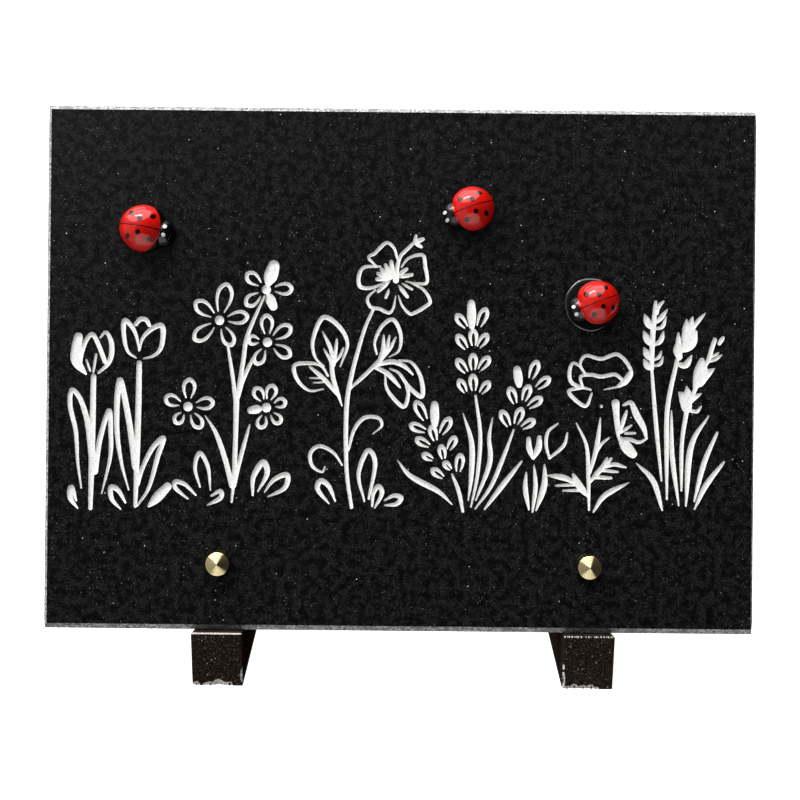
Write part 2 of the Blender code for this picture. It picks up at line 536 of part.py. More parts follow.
def wheat(drawing):
    """Three ears of wheat and their long blades."""
    strokes = (
        # The left ear: its axis, the grains on its left and those on its right
        ([(99.3, 104.8), (99.4, 115.0), (100.2, 127.0), (100.6, 131.2)], (1.6, 2.1, 1.3)),
        ([(99.4, 105.0), (97.7, 105.8), (96.2, 108.4)], (1.8, 2.7, 0.6)),
        ([(99.4, 108.6), (97.7, 110.2), (96.1, 113.0)], (2.0, 3.0, 0.6)),
        ([(99.4, 114.4), (97.7, 115.9), (95.9, 119.6)], (2.0, 2.8, 0.5)),
        ([(99.6, 121.0), (97.8, 122.5), (96.2, 126.3)], (2.0, 2.8, 0.5)),
        ([(99.9, 105.8), (102.6, 106.8), (103.7, 109.6)], (0.8, 1.4, 0.5)),
        ([(99.9, 108.2), (102.0, 109.4), (103.0, 111.8)], (0.8, 1.4, 0.5)),
        ([(99.9, 114.2), (102.6, 115.8), (103.8, 119.6)], (1.2, 2.0, 0.5)),
        ([(100.1, 120.6), (103.2, 121.4), (104.8, 125.4)], (1.0, 1.6, 0.5)),
        ([(99.9, 122.6), (102.4, 124.6), (105.2, 128.2)], (1.0, 2.0, 0.5)),
        ([(101.0, 126.8), (101.8, 129.4), (103.9, 131.7)], (1.6, 1.6, 0.5)),
        # The middle ear
        ([(109.2, 106.8), (112.6, 106.4), (115.0, 110.2)], (1.4, 2.6, 0.5)),
        ([(110.2, 109.0), (108.9, 111.4), (108.5, 114.4)], (1.8, 2.2, 0.5)),
        ([(110.6, 109.4), (109.8, 114.0), (109.7, 119.2)], (1.6, 2.4, 0.5)),
        ([(111.0, 112.4), (113.6, 114.6), (116.2, 119.4)], (2.6, 5.4, 2.2)),
        ([(112.2, 116.4), (112.4, 120.4), (112.9, 124.3)], (2.8, 2.4, 0.6)),
        ([(113.8, 118.0), (114.2, 121.6), (115.3, 125.4)], (2.8, 2.6, 0.6)),
        ([(114.8, 120.4), (117.4, 123.8), (120.3, 127.0)], (2.2, 1.7, 0.4)),
        # The right ear, from its three lower grains to its tip
        ([(113.2, 89.6), (112.4, 93.2), (110.0, 95.6)], (4.2, 4.6, 0.6)),
        ([(113.2, 90.0), (113.6, 94.4), (113.1, 97.8)], (3.0, 3.4, 0.8)),
        ([(114.0, 88.6), (117.2, 88.1), (119.0, 90.2)], (1.6, 1.4, 0.6)),
        ([(114.2, 92.0), (116.6, 93.8), (118.8, 95.2)], (2.6, 1.9, 0.6)),
        ([(114.4, 92.6), (116.2, 96.2), (117.4, 99.6)], (1.4, 1.6, 2.0)),
        ([(116.7, 98.0), (118.5, 102.6), (119.0, 108.4)], (2.4, 5.6, 2.2)),
        ([(118.0, 99.2), (117.0, 101.8), (116.3, 104.6)], (2.2, 2.0, 0.6)),
        ([(118.4, 99.0), (120.8, 102.6), (124.0, 105.1)], (2.6, 3.2, 0.5)),
        ([(119.6, 105.0), (121.6, 108.4), (122.8, 112.6), (124.1, 116.6)], (1.4, 1.8, 1.7)),
        ([(121.2, 107.8), (124.4, 108.8), (126.9, 110.6)], (1.0, 1.4, 0.5)),
        ([(122.6, 109.8), (124.2, 110.4), (125.7, 111.4)], (1.0, 1.2, 0.5)),
        ([(125.8, 115.0), (127.4, 117.4)], (1.6, 1.8, 1.2)),
        # The stems and the blades
        ([(99.3, 104.4), (100.8, 86.5), (103.5, 60.6)], (1.2, 1.7, 0.7)),
        ([(109.2, 108.2), (105.7, 90.0), (105.4, 73.0), (105.7, 53.4)], (1.6, 1.9, 0.8)),
        ([(113.2, 88.4), (111.4, 75.0), (111.4, 56.8)], (1.8, 1.6, 0.8)),
        ([(93.5, 67.5), (100.3, 60.4), (103.9, 49.0)], (0.5, 2.2, 0.7)),
        ([(107.2, 88.4), (107.6, 71.0), (110.4, 50.9)], (0.5, 2.0, 0.6)),
        ([(121.9, 86.4), (115.0, 74.0), (113.2, 50.7)], (0.6, 2.4, 0.7)),
        ([(125.3, 79.8), (120.2, 67.6), (116.5, 52.6)], (1.0, 2.1, 0.7)),
        ([(128.1, 68.2), (121.2, 59.2), (116.6, 49.5)], (0.9, 2.2, 0.6)),
    )
    for points, widths in strokes:
        drawing.stroke(points, widths)


def flower_row():
    """The whole drawing."""
    drawing = Drawing()
    for draw in (tulips, daisies, hibiscus, lavenders, buds, poppy, butterfly, wheat):
        draw(drawing)
    return drawing


def joined_outlines(drawing):
    """The outlines of the strokes, joined where they cross, as closed loops of points."""
    places, _, faces, _, _, sources = delaunay_2d_cdt(drawing.corners, [], drawing.pieces, 1, CLOSE)
    sides = {}
    for face, source in zip(faces, sources):
        if source:
            for before, after in zip(face, face[1:] + face[:1]):
                sides[before, after] = True
    following = {}
    for before, after in sides:
        if (after, before) not in sides:
            following.setdefault(before, []).append(after)
    loops = []
    for start in sorted(following, key=lambda index: tuple(places[index])):
        while following[start]:
            loop = [start]
            at = following[start].pop()
            while at != start:
                loop.append(at)
                at = following[at].pop()
            loops.append([places[index] for index in loop])
    return loops


def loop_area(loop):
    """The area inside a closed loop of points."""
    return abs(sum(a.x * b.y - b.x * a.y for a, b in zip(loop, loop[1:] + loop[:1]))) / 2.0


def thin_loop(loop):
    """A closed loop with fewer points, which starts at a corner."""
    furthest = max(range(len(loop)), key=lambda index: (loop[index] - loop[0]).length)
    there = thin_out(loop[:furthest + 1], OUTLINE_TOLERANCE)
    back = thin_out(loop[furthest:] + loop[:1], OUTLINE_TOLERANCE)
    return there[:-1] + back[:-1]


def part_touching(loops):
    """Draw back the corners at which outlines touch, so that no two of them share a point."""
    meetings = {}
    for loop in loops:
        for index, place in enumerate(loop):
            meetings.setdefault((round(place.x, 3), round(place.y, 3)), []).append((loop, index))
    for corners in meetings.values():
        if len(corners) > 1:
            for loop, index in corners:
                beside = (loop[index - 1] + loop[(index + 1) % len(loop)]) / 2.0
                loop[index] = loop[index].lerp(beside, DRAW_BACK)


def triangles(rings, kinds):
    """Triangles between flat rings: their points, their corners, for each one the sum of the kinds of ring
    that hold it, and for each ring the points that it became.
    """
    points, sides, side_kinds, outlines = [], [], [], []
    for ring, kind in zip(rings, kinds):
        outline = range(len(points), len(points) + len(ring))
        points += ring
        sides += [(number, outline[(place + 1) % len(outline)]) for place, number in enumerate(outline)]
        side_kinds += [kind] * len(ring)
        outlines.append(outline)
    places, edges, faces, given, given_sides, _ = delaunay_2d_cdt(points, sides, [], 0, CLOSE)
    crossing = {}
    for edge, numbers in zip(edges, given_sides):
        held = 0
        for number in numbers:
            held ^= side_kinds[number]
        crossing[frozenset(edge)] = held
    beside = {}
    for number, face in enumerate(faces):
        for before, after in zip(face, face[1:] + face[:1]):
            beside.setdefault(frozenset((before, after)), []).append(number)
    # Walk in from the outer edge, and change what holds a triangle at each outline that is crossed
    waiting = [(around[0], crossing[side]) for side, around in beside.items() if len(around) == 1]
    held_by = {}
    while waiting:
        number, held = waiting.pop()
        if number in held_by:
            continue
        held_by[number] = held
        face = faces[number]
        for before, after in zip(face, face[1:] + face[:1]):
            side = frozenset((before, after))
            waiting += [(other, held ^ crossing[side]) for other in beside[side] if other not in held_by]
    became = {number: index for index, numbers in enumerate(given) for number in numbers}
    kept = [[became[number] for number in outline] for outline in outlines]
    return places, faces, [held_by[number] for number in range(len(faces))], kept


def drawing_prism(drawing, bottom, top):
    """The drawing's strokes as one flat shape, made solid between two heights."""
    loops = [thin_loop(loop) for loop in joined_outlines(drawing) if loop_area(loop) > SMALLEST_AREA]
    loops = [loop for loop in loops if len(loop) > 2]
    part_touching(loops)
    places, faces, held_by, _ = triangles(loops, [1] * len(loops))
    bm = bmesh.new()
    corners = [bm.verts.new((place.x, place.y, bottom)) for place in places]
    for face, held in zip(faces, held_by):
        if held:
            bm.faces.new([corners[index] for index in face])
    bmesh.ops.delete(bm, geom=[corner for corner in bm.verts if not corner.link_faces], context="VERTS")
    raised = bmesh.ops.extrude_face_region(bm, geom=list(bm.faces))
    lifted = [item for item in raised["geom"] if isinstance(item, bmesh.types.BMVert)]
    bmesh.ops.translate(bm, vec=(0.0, 0.0, top - bottom), verts=lifted)
    return bm


# Pieces

def plaque_frame(collection):
    """The empty at the middle of the plaque's bottom front edge, leaned back with the plaque."""
    behind = Vector((0.0, math.cos(PLAQUE_LEAN), -math.sin(PLAQUE_LEAN)))
    above = Vector((0.0, math.sin(PLAQUE_LEAN), math.cos(PLAQUE_LEAN)))
    frame = bpy.data.objects.new("plaque_frame", None)
    frame.location = ledge_front() + behind * FOOT_LEDGE + above * GAP
    frame.rotation_euler = (-PLAQUE_LEAN, 0.0, 0.0)
    collection.objects.link(frame)
    return frame


def covered_depth():
    """How far the whole thing reaches from the feet's front to its back."""
    slab_back = (FOOT_LEDGE + PLAQUE_THICKNESS) * math.cos(PLAQUE_LEAN)
    slab_back += (PLAQUE_HEIGHT + GAP - BACK_CHAMFER) * math.sin(PLAQUE_LEAN)
    return max(FOOT_DEPTH, slab_back)


def ledge_front():
    """The front top corner of the feet."""
    return Vector((0.0, -covered_depth() / 2.0, FOOT_FRONT_HEIGHT))


def screw_places():
    """Each side's place across the plaque."""
    return {"left": FOOT_OFFSET - FOOT_SPACING / 2.0, "right": FOOT_OFFSET + FOOT_SPACING / 2.0}


def screw_axis(x):
    """Turns a shape's own +Z into the way out of the plaque's face, at a screw's place."""
    return Matrix.Translation((x, 0.0, SCREW_RISE)) @ Matrix.Rotation(math.radians(90.0), 4, "X")


def shank_hole(name, x, start, end, cutters, frame):
    """A round cutter along a screw, from start to end in front of the plaque's face."""
    bm = bmesh.new()
    radius = SCREW_SHANK_DIAMETER / 2.0 + HOLE_PLAY
    bmesh.ops.create_cone(bm, cap_ends=True, segments=TURNED_SIDES, radius1=radius, radius2=radius,
                          depth=start - end)
    bm.transform(screw_axis(x) @ Matrix.Translation((0.0, 0.0, (start + end) / 2.0)))
    return cutter_object(name, bm, cutters, frame)


def make_plaque(parts, cutters, frame, finish):
    """The slab, chamfered all round, with its flowers cut in and a hole for each screw."""
    bm = bmesh.new()
    bmesh.ops.create_cube(bm, size=1.0)
    bm.transform(Matrix.Diagonal((PLAQUE_WIDTH, PLAQUE_THICKNESS, PLAQUE_HEIGHT, 1.0)))
    bm.transform(Matrix.Translation((0.0, PLAQUE_THICKNESS / 2.0, PLAQUE_HEIGHT / 2.0)))
    for depth, width in ((0.0, FRONT_CHAMFER), (PLAQUE_THICKNESS, BACK_CHAMFER)):
        rim = [edge for edge in bm.edges if all(abs(corner.co.y - depth) < GAP for corner in edge.verts)]
        bmesh.ops.bevel(bm, geom=rim, offset=width, segments=1, affect="EDGES", profile=0.5)
    plaque = mesh_object("plaque", bm, parts, finish, frame)

    bm = drawing_prism(flower_row(), -ENGRAVING_DEPTH, CUT_PAST)
    scale = Matrix.Diagonal((PLAQUE_WIDTH / DRAWING_WIDTH, PLAQUE_HEIGHT / DRAWING_HEIGHT, 1.0, 1.0))
    bm.transform(Matrix.Rotation(math.radians(90.0), 4, "X") @ scale)
    combine(plaque, cutter_object("flower_cutter", bm, cutters, frame), "DIFFERENCE")
    for side, x in screw_places().items():
        hole = shank_hole(f"plaque_hole_{side}", x, CUT_PAST, -PLAQUE_THICKNESS - CUT_PAST, cutters, frame)
        combine(plaque, hole, "DIFFERENCE")
    return plaque


def foot_outline():
    """The foot seen from the side: front, sloping ledge, seat against the plaque's back, top and back."""
    behind = Vector((math.cos(PLAQUE_LEAN), -math.sin(PLAQUE_LEAN)))
    above = Vector((math.sin(PLAQUE_LEAN), math.cos(PLAQUE_LEAN)))
    front = Vector((-covered_depth() / 2.0, FOOT_FRONT_HEIGHT))
    notch = front + behind * (FOOT_LEDGE + PLAQUE_THICKNESS + GAP)
    seat_top = notch + above * FOOT_SEAT_HEIGHT
    back = front.x + FOOT_DEPTH
    top_back = Vector((min(seat_top.x + FOOT_TOP_DEPTH, back), seat_top.y))
    return [(front.x, 0.0), front, notch, seat_top, top_back, (back, FOOT_BACK_HEIGHT), (back, 0.0)]


def make_foot(side, x, parts, cutters, frame, finish):
    """A foot with its screw hole and the chips along its bottom front edge."""
    name = f"foot_{side}"
    foot = mesh_object(name, extruded_outline(foot_outline(), FOOT_WIDTH), parts, finish)
    foot.location.x = x
    bevel(foot, FOOT_BEVEL)
    mirrored = 1.0 if side == "left" else -1.0
    for number, (place, reach) in enumerate(CHIPS):
        bm = bmesh.new()
        bmesh.ops.create_icosphere(bm, subdivisions=1, radius=1.0)
        bm.transform(Matrix.Diagonal((FOOT_WIDTH * reach, CHIP_DEPTH, CHIP_HEIGHT, 1.0)))
        centre = (x + mirrored * place * FOOT_WIDTH, -covered_depth() / 2.0, -CHIP_HEIGHT * CHIP_DROP_SHARE)
        bm.transform(Matrix.Translation(centre))
        combine(foot, cutter_object(f"{name}_chip_{number + 1}", bm, cutters), "DIFFERENCE")
    depth = -PLAQUE_THICKNESS - SCREW_HOLD - HOLE_PLAY
    combine(foot, shank_hole(f"{name}_hole", x, 0.0, depth, cutters, frame), "DIFFERENCE")
    return foot


def make_screw(side, x, parts, frame, finish):
    """A brass screw in one piece: a round head with a shallow cone, and its plain shank."""
    head = SCREW_HEAD_DIAMETER / 2.0
    shank = SCREW_SHANK_DIAMETER / 2.0
    end = -PLAQUE_THICKNESS - SCREW_HOLD
    lip = head * 0.10
    profile = [(0.0, end), (shank, end), (shank, GAP), (head - lip, GAP), (head, GAP + lip)]
    profile += [(head, GAP + SCREW_RIM_HEIGHT - lip), (head - lip, GAP + SCREW_RIM_HEIGHT)]
    profile += [(0.0, GAP + SCREW_RIM_HEIGHT + SCREW_CONE_HEIGHT)]
    screw = mesh_object(f"brass_screw_{side}", turned_profile(profile, TURNED_SIDES, screw_axis(x)), parts,
                        finish, frame)
    screw.data.shade_smooth()
    screw.data.set_sharp_from_angle(angle=math.radians(30.0))
    return screw


def dome(length, width, height, centre):
    """The upper half of a stretched ball, flat below, its length along X."""
    bm = bmesh.new()
    bmesh.ops.create_uvsphere(bm, u_segments=DOME_SIDES, v_segments=DOME_RINGS, radius=1.0)
    bm.transform(Matrix.Rotation(math.radians(90.0), 4, "Y"))
    cut = bmesh.ops.bisect_plane(bm, geom=bm.verts[:] + bm.edges[:] + bm.faces[:], dist=1e-6,
                                 plane_co=(0.0, 0.0, 0.0), plane_no=(0.0, 0.0, 1.0), clear_inner=True)
    rim = [item for item in cut["geom_cut"] if isinstance(item, bmesh.types.BMEdge)]
    bmesh.ops.contextual_create(bm, geom=rim)
    bm.transform(Matrix.Translation(centre) @ Matrix.Diagonal((length / 2.0, width / 2.0, height, 1.0)))
    return bm


def make_ladybird(name, parts, cutters, frame, finish, lift):
    """A domed body with a groove between its wing cases, and its lower round head, on a flat base."""
    share_x, share_z, size, turn = LADYBIRDS[name]
    height = size * LADYBIRD_HEIGHT_SHARE
    base = Matrix.Translation((share_x * PLAQUE_WIDTH, 0.0, share_z * PLAQUE_HEIGHT))
    place = base @ Matrix.Rotation(math.radians(90.0), 4, "X") @ Matrix.Rotation(turn, 4, "Z")
    place = place @ Matrix.Translation((0.0, 0.0, lift + GAP))
    bm = dome(size, size * LADYBIRD_WIDTH_SHARE, height, (0.0, 0.0, 0.0))
    bm.transform(place)
    body = mesh_object(name, bm, parts, finish, frame)

    # The groove runs over the back, in the line of the body, and goes under the head
    bm = bmesh.new()
    bmesh.ops.create_circle(bm, segments=6, radius=WING_GROOVE_SHARE)
    bm.transform(Matrix.Translation((1.0, 0.0, 0.0)))
    bmesh.ops.spin(bm, geom=bm.verts[:] + bm.edges[:], cent=(0.0, 0.0, 0.0), axis=(0.0, 1.0, 0.0),
                   angle=2.0 * math.pi, steps=DOME_SIDES, use_merge=True)
    bm.transform(place @ Matrix.Diagonal((size / 2.0, size / 2.0, height, 1.0)))
    combine(body, cutter_object(f"{name}_groove", bm, cutters, frame), "DIFFERENCE")

    bm = dome(size * HEAD_LENGTH_SHARE, size * HEAD_WIDTH_SHARE, size * HEAD_HEIGHT_SHARE,
              (size * HEAD_PLACE_SHARE, 0.0, 0.0))
    bm.transform(place)
    combine(body, cutter_object(f"{name}_head", bm, cutters, frame), "UNION")
    return body


def make_glue_pad(parts, frame, finish):
    """The thin round pad of glue under the right ladybird, shifted to its left and a little down."""
    share_x, share_z, size, _ = LADYBIRDS["ladybird_right"]
    radius = size / 2.0 + GLUE_PAD_GROWTH
    middle = radius * 0.94
    profile = [(0.0, GAP), (middle, GAP), (radius, GAP + GLUE_PAD_THICKNESS * 0.4)]
    profile += [(middle, GLUE_PAD_THICKNESS), (0.0, GLUE_PAD_THICKNESS)]
    x = share_x * PLAQUE_WIDTH - GLUE_PAD_LEFT_SHIFT
    z = share_z * PLAQUE_HEIGHT - GLUE_PAD_DOWN_SHIFT
    place = Matrix.Translation((x, 0.0, z)) @ Matrix.Rotation(math.radians(90.0), 4, "X")
    return mesh_object("glue_pad", turned_profile(profile, TURNED_SIDES, place), parts, finish, frame)


def build():
    """Make every piece."""
    clear_scene()
    parts = new_collection("granite_grave_plaque")
    cutters = new_collection("cutters")
    frame = plaque_frame(parts)
    granite = material("granite", (0.012, 0.012, 0.013), 0.12)
    brass = material("brass", (0.86, 0.66, 0.30), 0.22, 1.0)
    glaze = material("ladybird_glaze", (0.62, 0.018, 0.012), 0.12)
    glue = material("glue", (0.03, 0.028, 0.026), 0.10)
    make_plaque(parts, cutters, frame, granite)
    for side, x in screw_places().items():
        make_foot(side, x, parts, cutters, frame, granite)
        make_screw(side, x, parts, frame, brass)
    for name in LADYBIRDS:
        lift = GLUE_PAD_THICKNESS if name == "ladybird_right" else 0.0
        make_ladybird(name, parts, cutters, frame, glaze, lift)
    make_glue_pad(parts, frame, glue)


build()
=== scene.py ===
"""The looks of the granite grave plaque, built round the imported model.

Lengths are in metres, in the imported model's frame: +Z is up and the polished face looks towards -Y. The
plaque, its screws and its ladybirds are modelled in the plaque's own leaned frame, in which the polished
face lies in the XZ plane and +Y goes into the stone.
"""
import math

import bmesh
import bpy
from mathutils import Matrix, Vector, noise
from mathutils.geometry import delaunay_2d_cdt


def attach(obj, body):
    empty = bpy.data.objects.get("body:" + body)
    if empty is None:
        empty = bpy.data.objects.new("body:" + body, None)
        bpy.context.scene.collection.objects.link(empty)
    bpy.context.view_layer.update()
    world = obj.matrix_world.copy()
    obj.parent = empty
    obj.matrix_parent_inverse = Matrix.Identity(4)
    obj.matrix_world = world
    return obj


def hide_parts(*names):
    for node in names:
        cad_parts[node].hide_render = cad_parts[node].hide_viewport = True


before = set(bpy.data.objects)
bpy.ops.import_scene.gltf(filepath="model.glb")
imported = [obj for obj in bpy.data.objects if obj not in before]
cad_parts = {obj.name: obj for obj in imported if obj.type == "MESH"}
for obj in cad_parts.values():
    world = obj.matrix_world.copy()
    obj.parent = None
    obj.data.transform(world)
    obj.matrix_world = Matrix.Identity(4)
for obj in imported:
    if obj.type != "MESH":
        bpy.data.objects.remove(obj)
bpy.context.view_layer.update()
MILLIMETRES = 1000.0

# Plaque
PLAQUE_WIDTH = 0.280
PLAQUE_HEIGHT = 0.207
PLAQUE_THICKNESS = 0.020
PLAQUE_LEAN = math.radians(15.0)
# Widths of the sawn front chamfer, from the photo, on each side of the plaque
CHAMFER_BOTTOM = 0.0022
CHAMFER_TOP = 0.0018
CHAMFER_LEFT = 0.0013
CHAMFER_RIGHT = 0.0008
BACK_CHAMFER = 0.0010
ENGRAVING_DEPTH = 0.0007
# The uneven arris of the polished face: its points' spacing, its reach, and its short and long waves
ARRIS_STEP = 0.0010
ARRIS_ROUGHNESS = 0.00010
ARRIS_SHORT_WAVES = 900.0
ARRIS_LONG_WAVES = 260.0
LONG_WAVE_SHARE = 0.6
# How fast the arris grows uneven, and the chamfer takes its own depth, away from each corner
ARRIS_START = 8.0
CHAMFER_START = 40.0

# Feet
FOOT_WIDTH = 0.020
FOOT_DEPTH = 0.080
FOOT_FRONT_HEIGHT = 0.0225
FOOT_LEDGE = 0.005
FOOT_SEAT_HEIGHT = 0.048
FOOT_TOP_DEPTH = 0.010
FOOT_BACK_HEIGHT = 0.012
FOOT_SPACING = 0.146
FOOT_OFFSET = 0.002
FOOT_BEVEL = 0.0006
BEVEL_STEPS = 3
SOFT_SHARE = 0.3
# Slices across a foot and rows up its front, close enough to hold the chips
FOOT_SLICES = 110
FRONT_ROWS = 64
FRONT_ROW_GROWTH = 1.6
# Chips along each foot's bottom front edge: place and half length as shares of the foot's width from its
# left side, then height and depth
FOOT_CHIPS = {
    "left": ((0.07, 0.085, 0.0017, 0.0009), (0.33, 0.13, 0.0016, 0.0009), (0.52, 0.15, 0.0025, 0.0014),
             (0.71, 0.10, 0.0017, 0.0010)),
    "right": ((0.09, 0.09, 0.0012, 0.0008), (0.24, 0.09, 0.0021, 0.0011), (0.40, 0.11, 0.0016, 0.0009),
              (0.56, 0.09, 0.0019, 0.0010), (0.67, 0.06, 0.0010, 0.0006)),
}
# Chips on each foot's inner front edge, near the ground: height of the middle, half height, width and depth
SIDE_CHIPS = {
    "left": ((0.0042, 0.0036, 0.0011, 0.0009),),
    "right": ((0.0035, 0.0036, 0.0012, 0.0010), (0.0092, 0.0013, 0.0007, 0.0005)),
}
# A chip's ragged outline, how steep its sides are, and the ripples in it
CHIP_WAVES = 1.7
CHIP_OWN_NOISE = 9000.0
CHIP_RAGGEDNESS = 0.35
CHIP_STEEPNESS = 0.55
RIPPLES = 9.0
RIPPLE_DEPTH = 0.15
# From this depth on, a chip shows fresh stone
FRESH_DEPTH = 0.00005
# Painted highlight along the feet's ledge front arris, broken into dots on the right foot: waves to its
# width, and the level above which it is painted
LEDGE_HIGHLIGHT_WAVES = 34.0
LEDGE_HIGHLIGHT_LEVEL = 0.05

# Screws: the rings are shares of the cone's radius
SCREW_RISE = 0.0265
SCREW_HEAD_DIAMETER = 0.0100
SCREW_RIM_HEIGHT = 0.0042
SCREW_CONE_HEIGHT = 0.0018
SCREW_FACE_SHARE = 0.92
SCREW_FOOT_ROUNDING = 0.0004
SCREW_FACE_ROUNDING = 0.0002
SCREW_RINGS = (0.94, 0.60, 0.30, 0.06)
SCREW_TIP_SHARE = 0.02
SCREW_SHANK_DIAMETER = 0.0040
SHANK_END_SHARE = 0.8
SHANK_END_LENGTH = 0.4
SCREW_HOLD = 0.012
SCREW_SIDES = 96
HOLE_SIDES = 32
# How close the lathe's rings lie, in radians of their wave to each millimetre
LATHE_RINGS = 55.0

# Ladybirds: place from the plaque's middle and bottom edge as shares of its width and height, the
# diameter, and the turn of the head from the plaque's +X
LADYBIRD_HEIGHT_SHARE = 0.52
LADYBIRD_WIDTH_SHARE = 0.97
HEAD_PLACE_SHARE = 0.41
HEAD_LENGTH_SHARE = 0.52
HEAD_WIDTH_SHARE = 0.56
HEAD_HEIGHT_SHARE = 0.32
WING_GROOVE_SHARE = 0.020
BODY_SIDES = 112
HEAD_SIDES = 72
GROOVE_SIDES = 12
CUT_CLOSE = 1e-6
LADYBIRDS = {
    "ladybird_left": (-0.363, 0.764, 0.0192, math.radians(-13.8)),
    "ladybird_middle": (0.099, 0.808, 0.0179, math.radians(199.0)),
    "ladybird_right": (0.276, 0.631, 0.0178, math.radians(201.0)),
}
# Markings on a ladybird, in shares of its radius: along the body towards the head, and to each side
SPOTS = ((0.44, 0.47), (-0.04, 0.27), (-0.46, 0.47))
SPOT_RADIUS = 0.11
EYE_SIDE = 0.175
EYE_RADIUS = 0.078
RED_HALF_WIDTH = 1.02
# Half the width of a marking's soft edge, in millimetres, and the red oval's edge as a share of its size
SOFT_EDGE = 0.12
RED_EDGE = (0.97, 1.03)
# The dark wing line's edge and core, in half widths of the groove
WING_LINE_EDGE = 1.7
WING_LINE_CORE = 0.8
# On each ladybird: how far along the eyes lie, the middle and half length of the red's oval, and the turn
# of the markings on the body
MARKINGS = {
    "ladybird_left": (0.93, -0.12, 0.90, math.radians(-5.0)),
    "ladybird_middle": (1.22, -0.03, 0.90, 0.0),
    "ladybird_right": (1.11, -0.03, 0.93, 0.0),
}

# Glue pad: each wave in its rim is given by its count, its start and its height
GLUE_PAD_THICKNESS = 0.0010
GLUE_PAD_GROWTH = 0.0018
GLUE_PAD_SHIFT = (-0.0022, -0.0007)
GLUE_PAD_ROUNDING = 0.0006
GLUE_PAD_STEPS = 8
GLUE_PAD_FALL = 0.0016
GLUE_PAD_SIDES = 96
GLUE_PAD_WAVES = ((3.0, 0.6, 0.012), (7.0, 0.0, 0.008))
GLUE_PAD_SHRINK = 0.98

# Fits
GAP = 0.0003
HOLE_PLAY = 0.0004

# Drawing of the flowers: its own steps are 1/280 of the plaque's width and 1/207 of its height
DRAWING_WIDTH = 280.0
DRAWING_HEIGHT = 207.0
# Steps of a curve between two points, the rounding of a stroke's ends, and the sides of a dot
CURVE_STEPS = 12
END_STEPS = 5
END_BULGE = 0.9
DOT_SIDES = 28
# What is too small to keep of an outline, and how far the corners at which two of them touch draw back
OUTLINE_TOLERANCE = 0.02
SMALLEST_AREA = 0.06
SMALLEST_TURN = 1e-6
CLOSE = 1e-4
DRAW_BACK = 0.15
# The ragged edge that sandblasting leaves
STROKE_RAGGEDNESS = 0.07
STROKE_RAG_SIZE = 0.9
STROKE_RAG_SEED = 11
# A filled petal: where its round tip starts, in widths before the tip, and how wide it is halfway and there
PETAL_TIP = 0.36
PETAL_MIDDLE_SHARE = 0.88
PETAL_TIP_SHARE = 0.72
# A petal drawn as a line: half of its way round, in shares of half its width and of its length, and the
# weight of its ends
LOOP_WAY = ((0.95, 0.42), (0.88, 0.78), (0.0, 1.0))
LOOP_END_SHARE = 0.35
# The line of the small petals, their widths as a share of their length and a little more, and the daisies'
# middles: their diameter, where the open petals start and where the filled ones do
FINE_LINE = 1.6
DAISY_WIDTH_SHARE = 0.34
FLORET_WIDTH_SHARE = 0.32
WIDTH_MORE = 0.4
FILLED_WIDTH_SHARE = 0.5
DAISY_MIDDLE = 3.7
DAISY_PETAL_START = 3.5
FILLED_PETAL_START = 1.6
# What holds a triangle of the face, as numbers whose bits add up
IN_FACE, IN_HOLE, IN_STROKE = 1, 2, 4

# Specks in the stone: the full core as a share of the whole, and the softness of the choice between them
SPECK_CORE = 0.5
SPECK_CHOICE = 0.02

# Stage: a floor that curves up into a backdrop
STAGE_NEAR = -2.2
STAGE_FAR = 1.9
STAGE_BEND = 0.9
STAGE_TOP = 2.6
STAGE_HALF_WIDTH = 3.0
STAGE_BEND_STEPS = 24

# Window light
WINDOW_PLACE = (-0.31, -0.15, 0.90)
WINDOW_AIM = (-0.03, 0.0, 0.18)
WINDOW_SIZE = (0.42, 0.075)
WINDOW_POWER = 3.6

# Room, as the polished stone reflects it: brightness on the right and on the left, and round patches, each
# with the way it lies, the angles from it at which it ends and is full, and its brightness
ROOM_BRIGHTNESS = (0.04, 0.45)
ROOM_REACH = 0.7
DARK_FRONT = ((0.0, -1.0, 0.0), 38.0, 16.0, 0.08)
CEILING = ((-0.27, 0.0, 0.96), 46.0, 38.0, 3.3)
GROUND = ((0.0, -0.60, -0.80), 40.0, 26.0, 1.15)

# Camera, from the photo: it looks straight at the leaned face
CAMERA_LENS = 60.75
CAMERA_SENSOR = 36.0
CAMERA_DISTANCE = 0.533
CAMERA_AIM = (0.0, 0.0915)
CAMERA_ELEVATION = math.radians(14.8)
CAMERA_ROLL = math.radians(0.55)
CAMERA_CLIP = (0.01, 20.0)


# Frames and places

def covered_depth():
    """How far the whole thing reaches from the feet's front to its back."""
    slab_back = (FOOT_LEDGE + PLAQUE_THICKNESS) * math.cos(PLAQUE_LEAN)
    slab_back += (PLAQUE_HEIGHT + GAP - BACK_CHAMFER) * math.sin(PLAQUE_LEAN)
    return max(FOOT_DEPTH, slab_back)


def plaque_frame():
    """The leaned frame at the middle of the plaque's bottom front edge."""
    behind = Vector((0.0, math.cos(PLAQUE_LEAN), -math.sin(PLAQUE_LEAN)))
    above = Vector((0.0, math.sin(PLAQUE_LEAN), math.cos(PLAQUE_LEAN)))
    ledge_front = Vector((0.0, -covered_depth() / 2.0, FOOT_FRONT_HEIGHT))
    corner = ledge_front + behind * FOOT_LEDGE + above * GAP
    return Matrix.Translation(corner) @ Matrix.Rotation(-PLAQUE_LEAN, 4, "X")


def screw_places():
    """Each side's place across the plaque."""
    return {"left": FOOT_OFFSET - FOOT_SPACING / 2.0, "right": FOOT_OFFSET + FOOT_SPACING / 2.0}


def on_face(x, z, turn=0.0):
    """A frame at a place on the polished face, with its +Z out of the face."""
    upright = Matrix.Rotation(math.radians(90.0), 4, "X")
    return plaque_frame() @ (Matrix.Translation((x, 0.0, z)) @ upright @ Matrix.Rotation(turn, 4, "Z"))


# Nodes

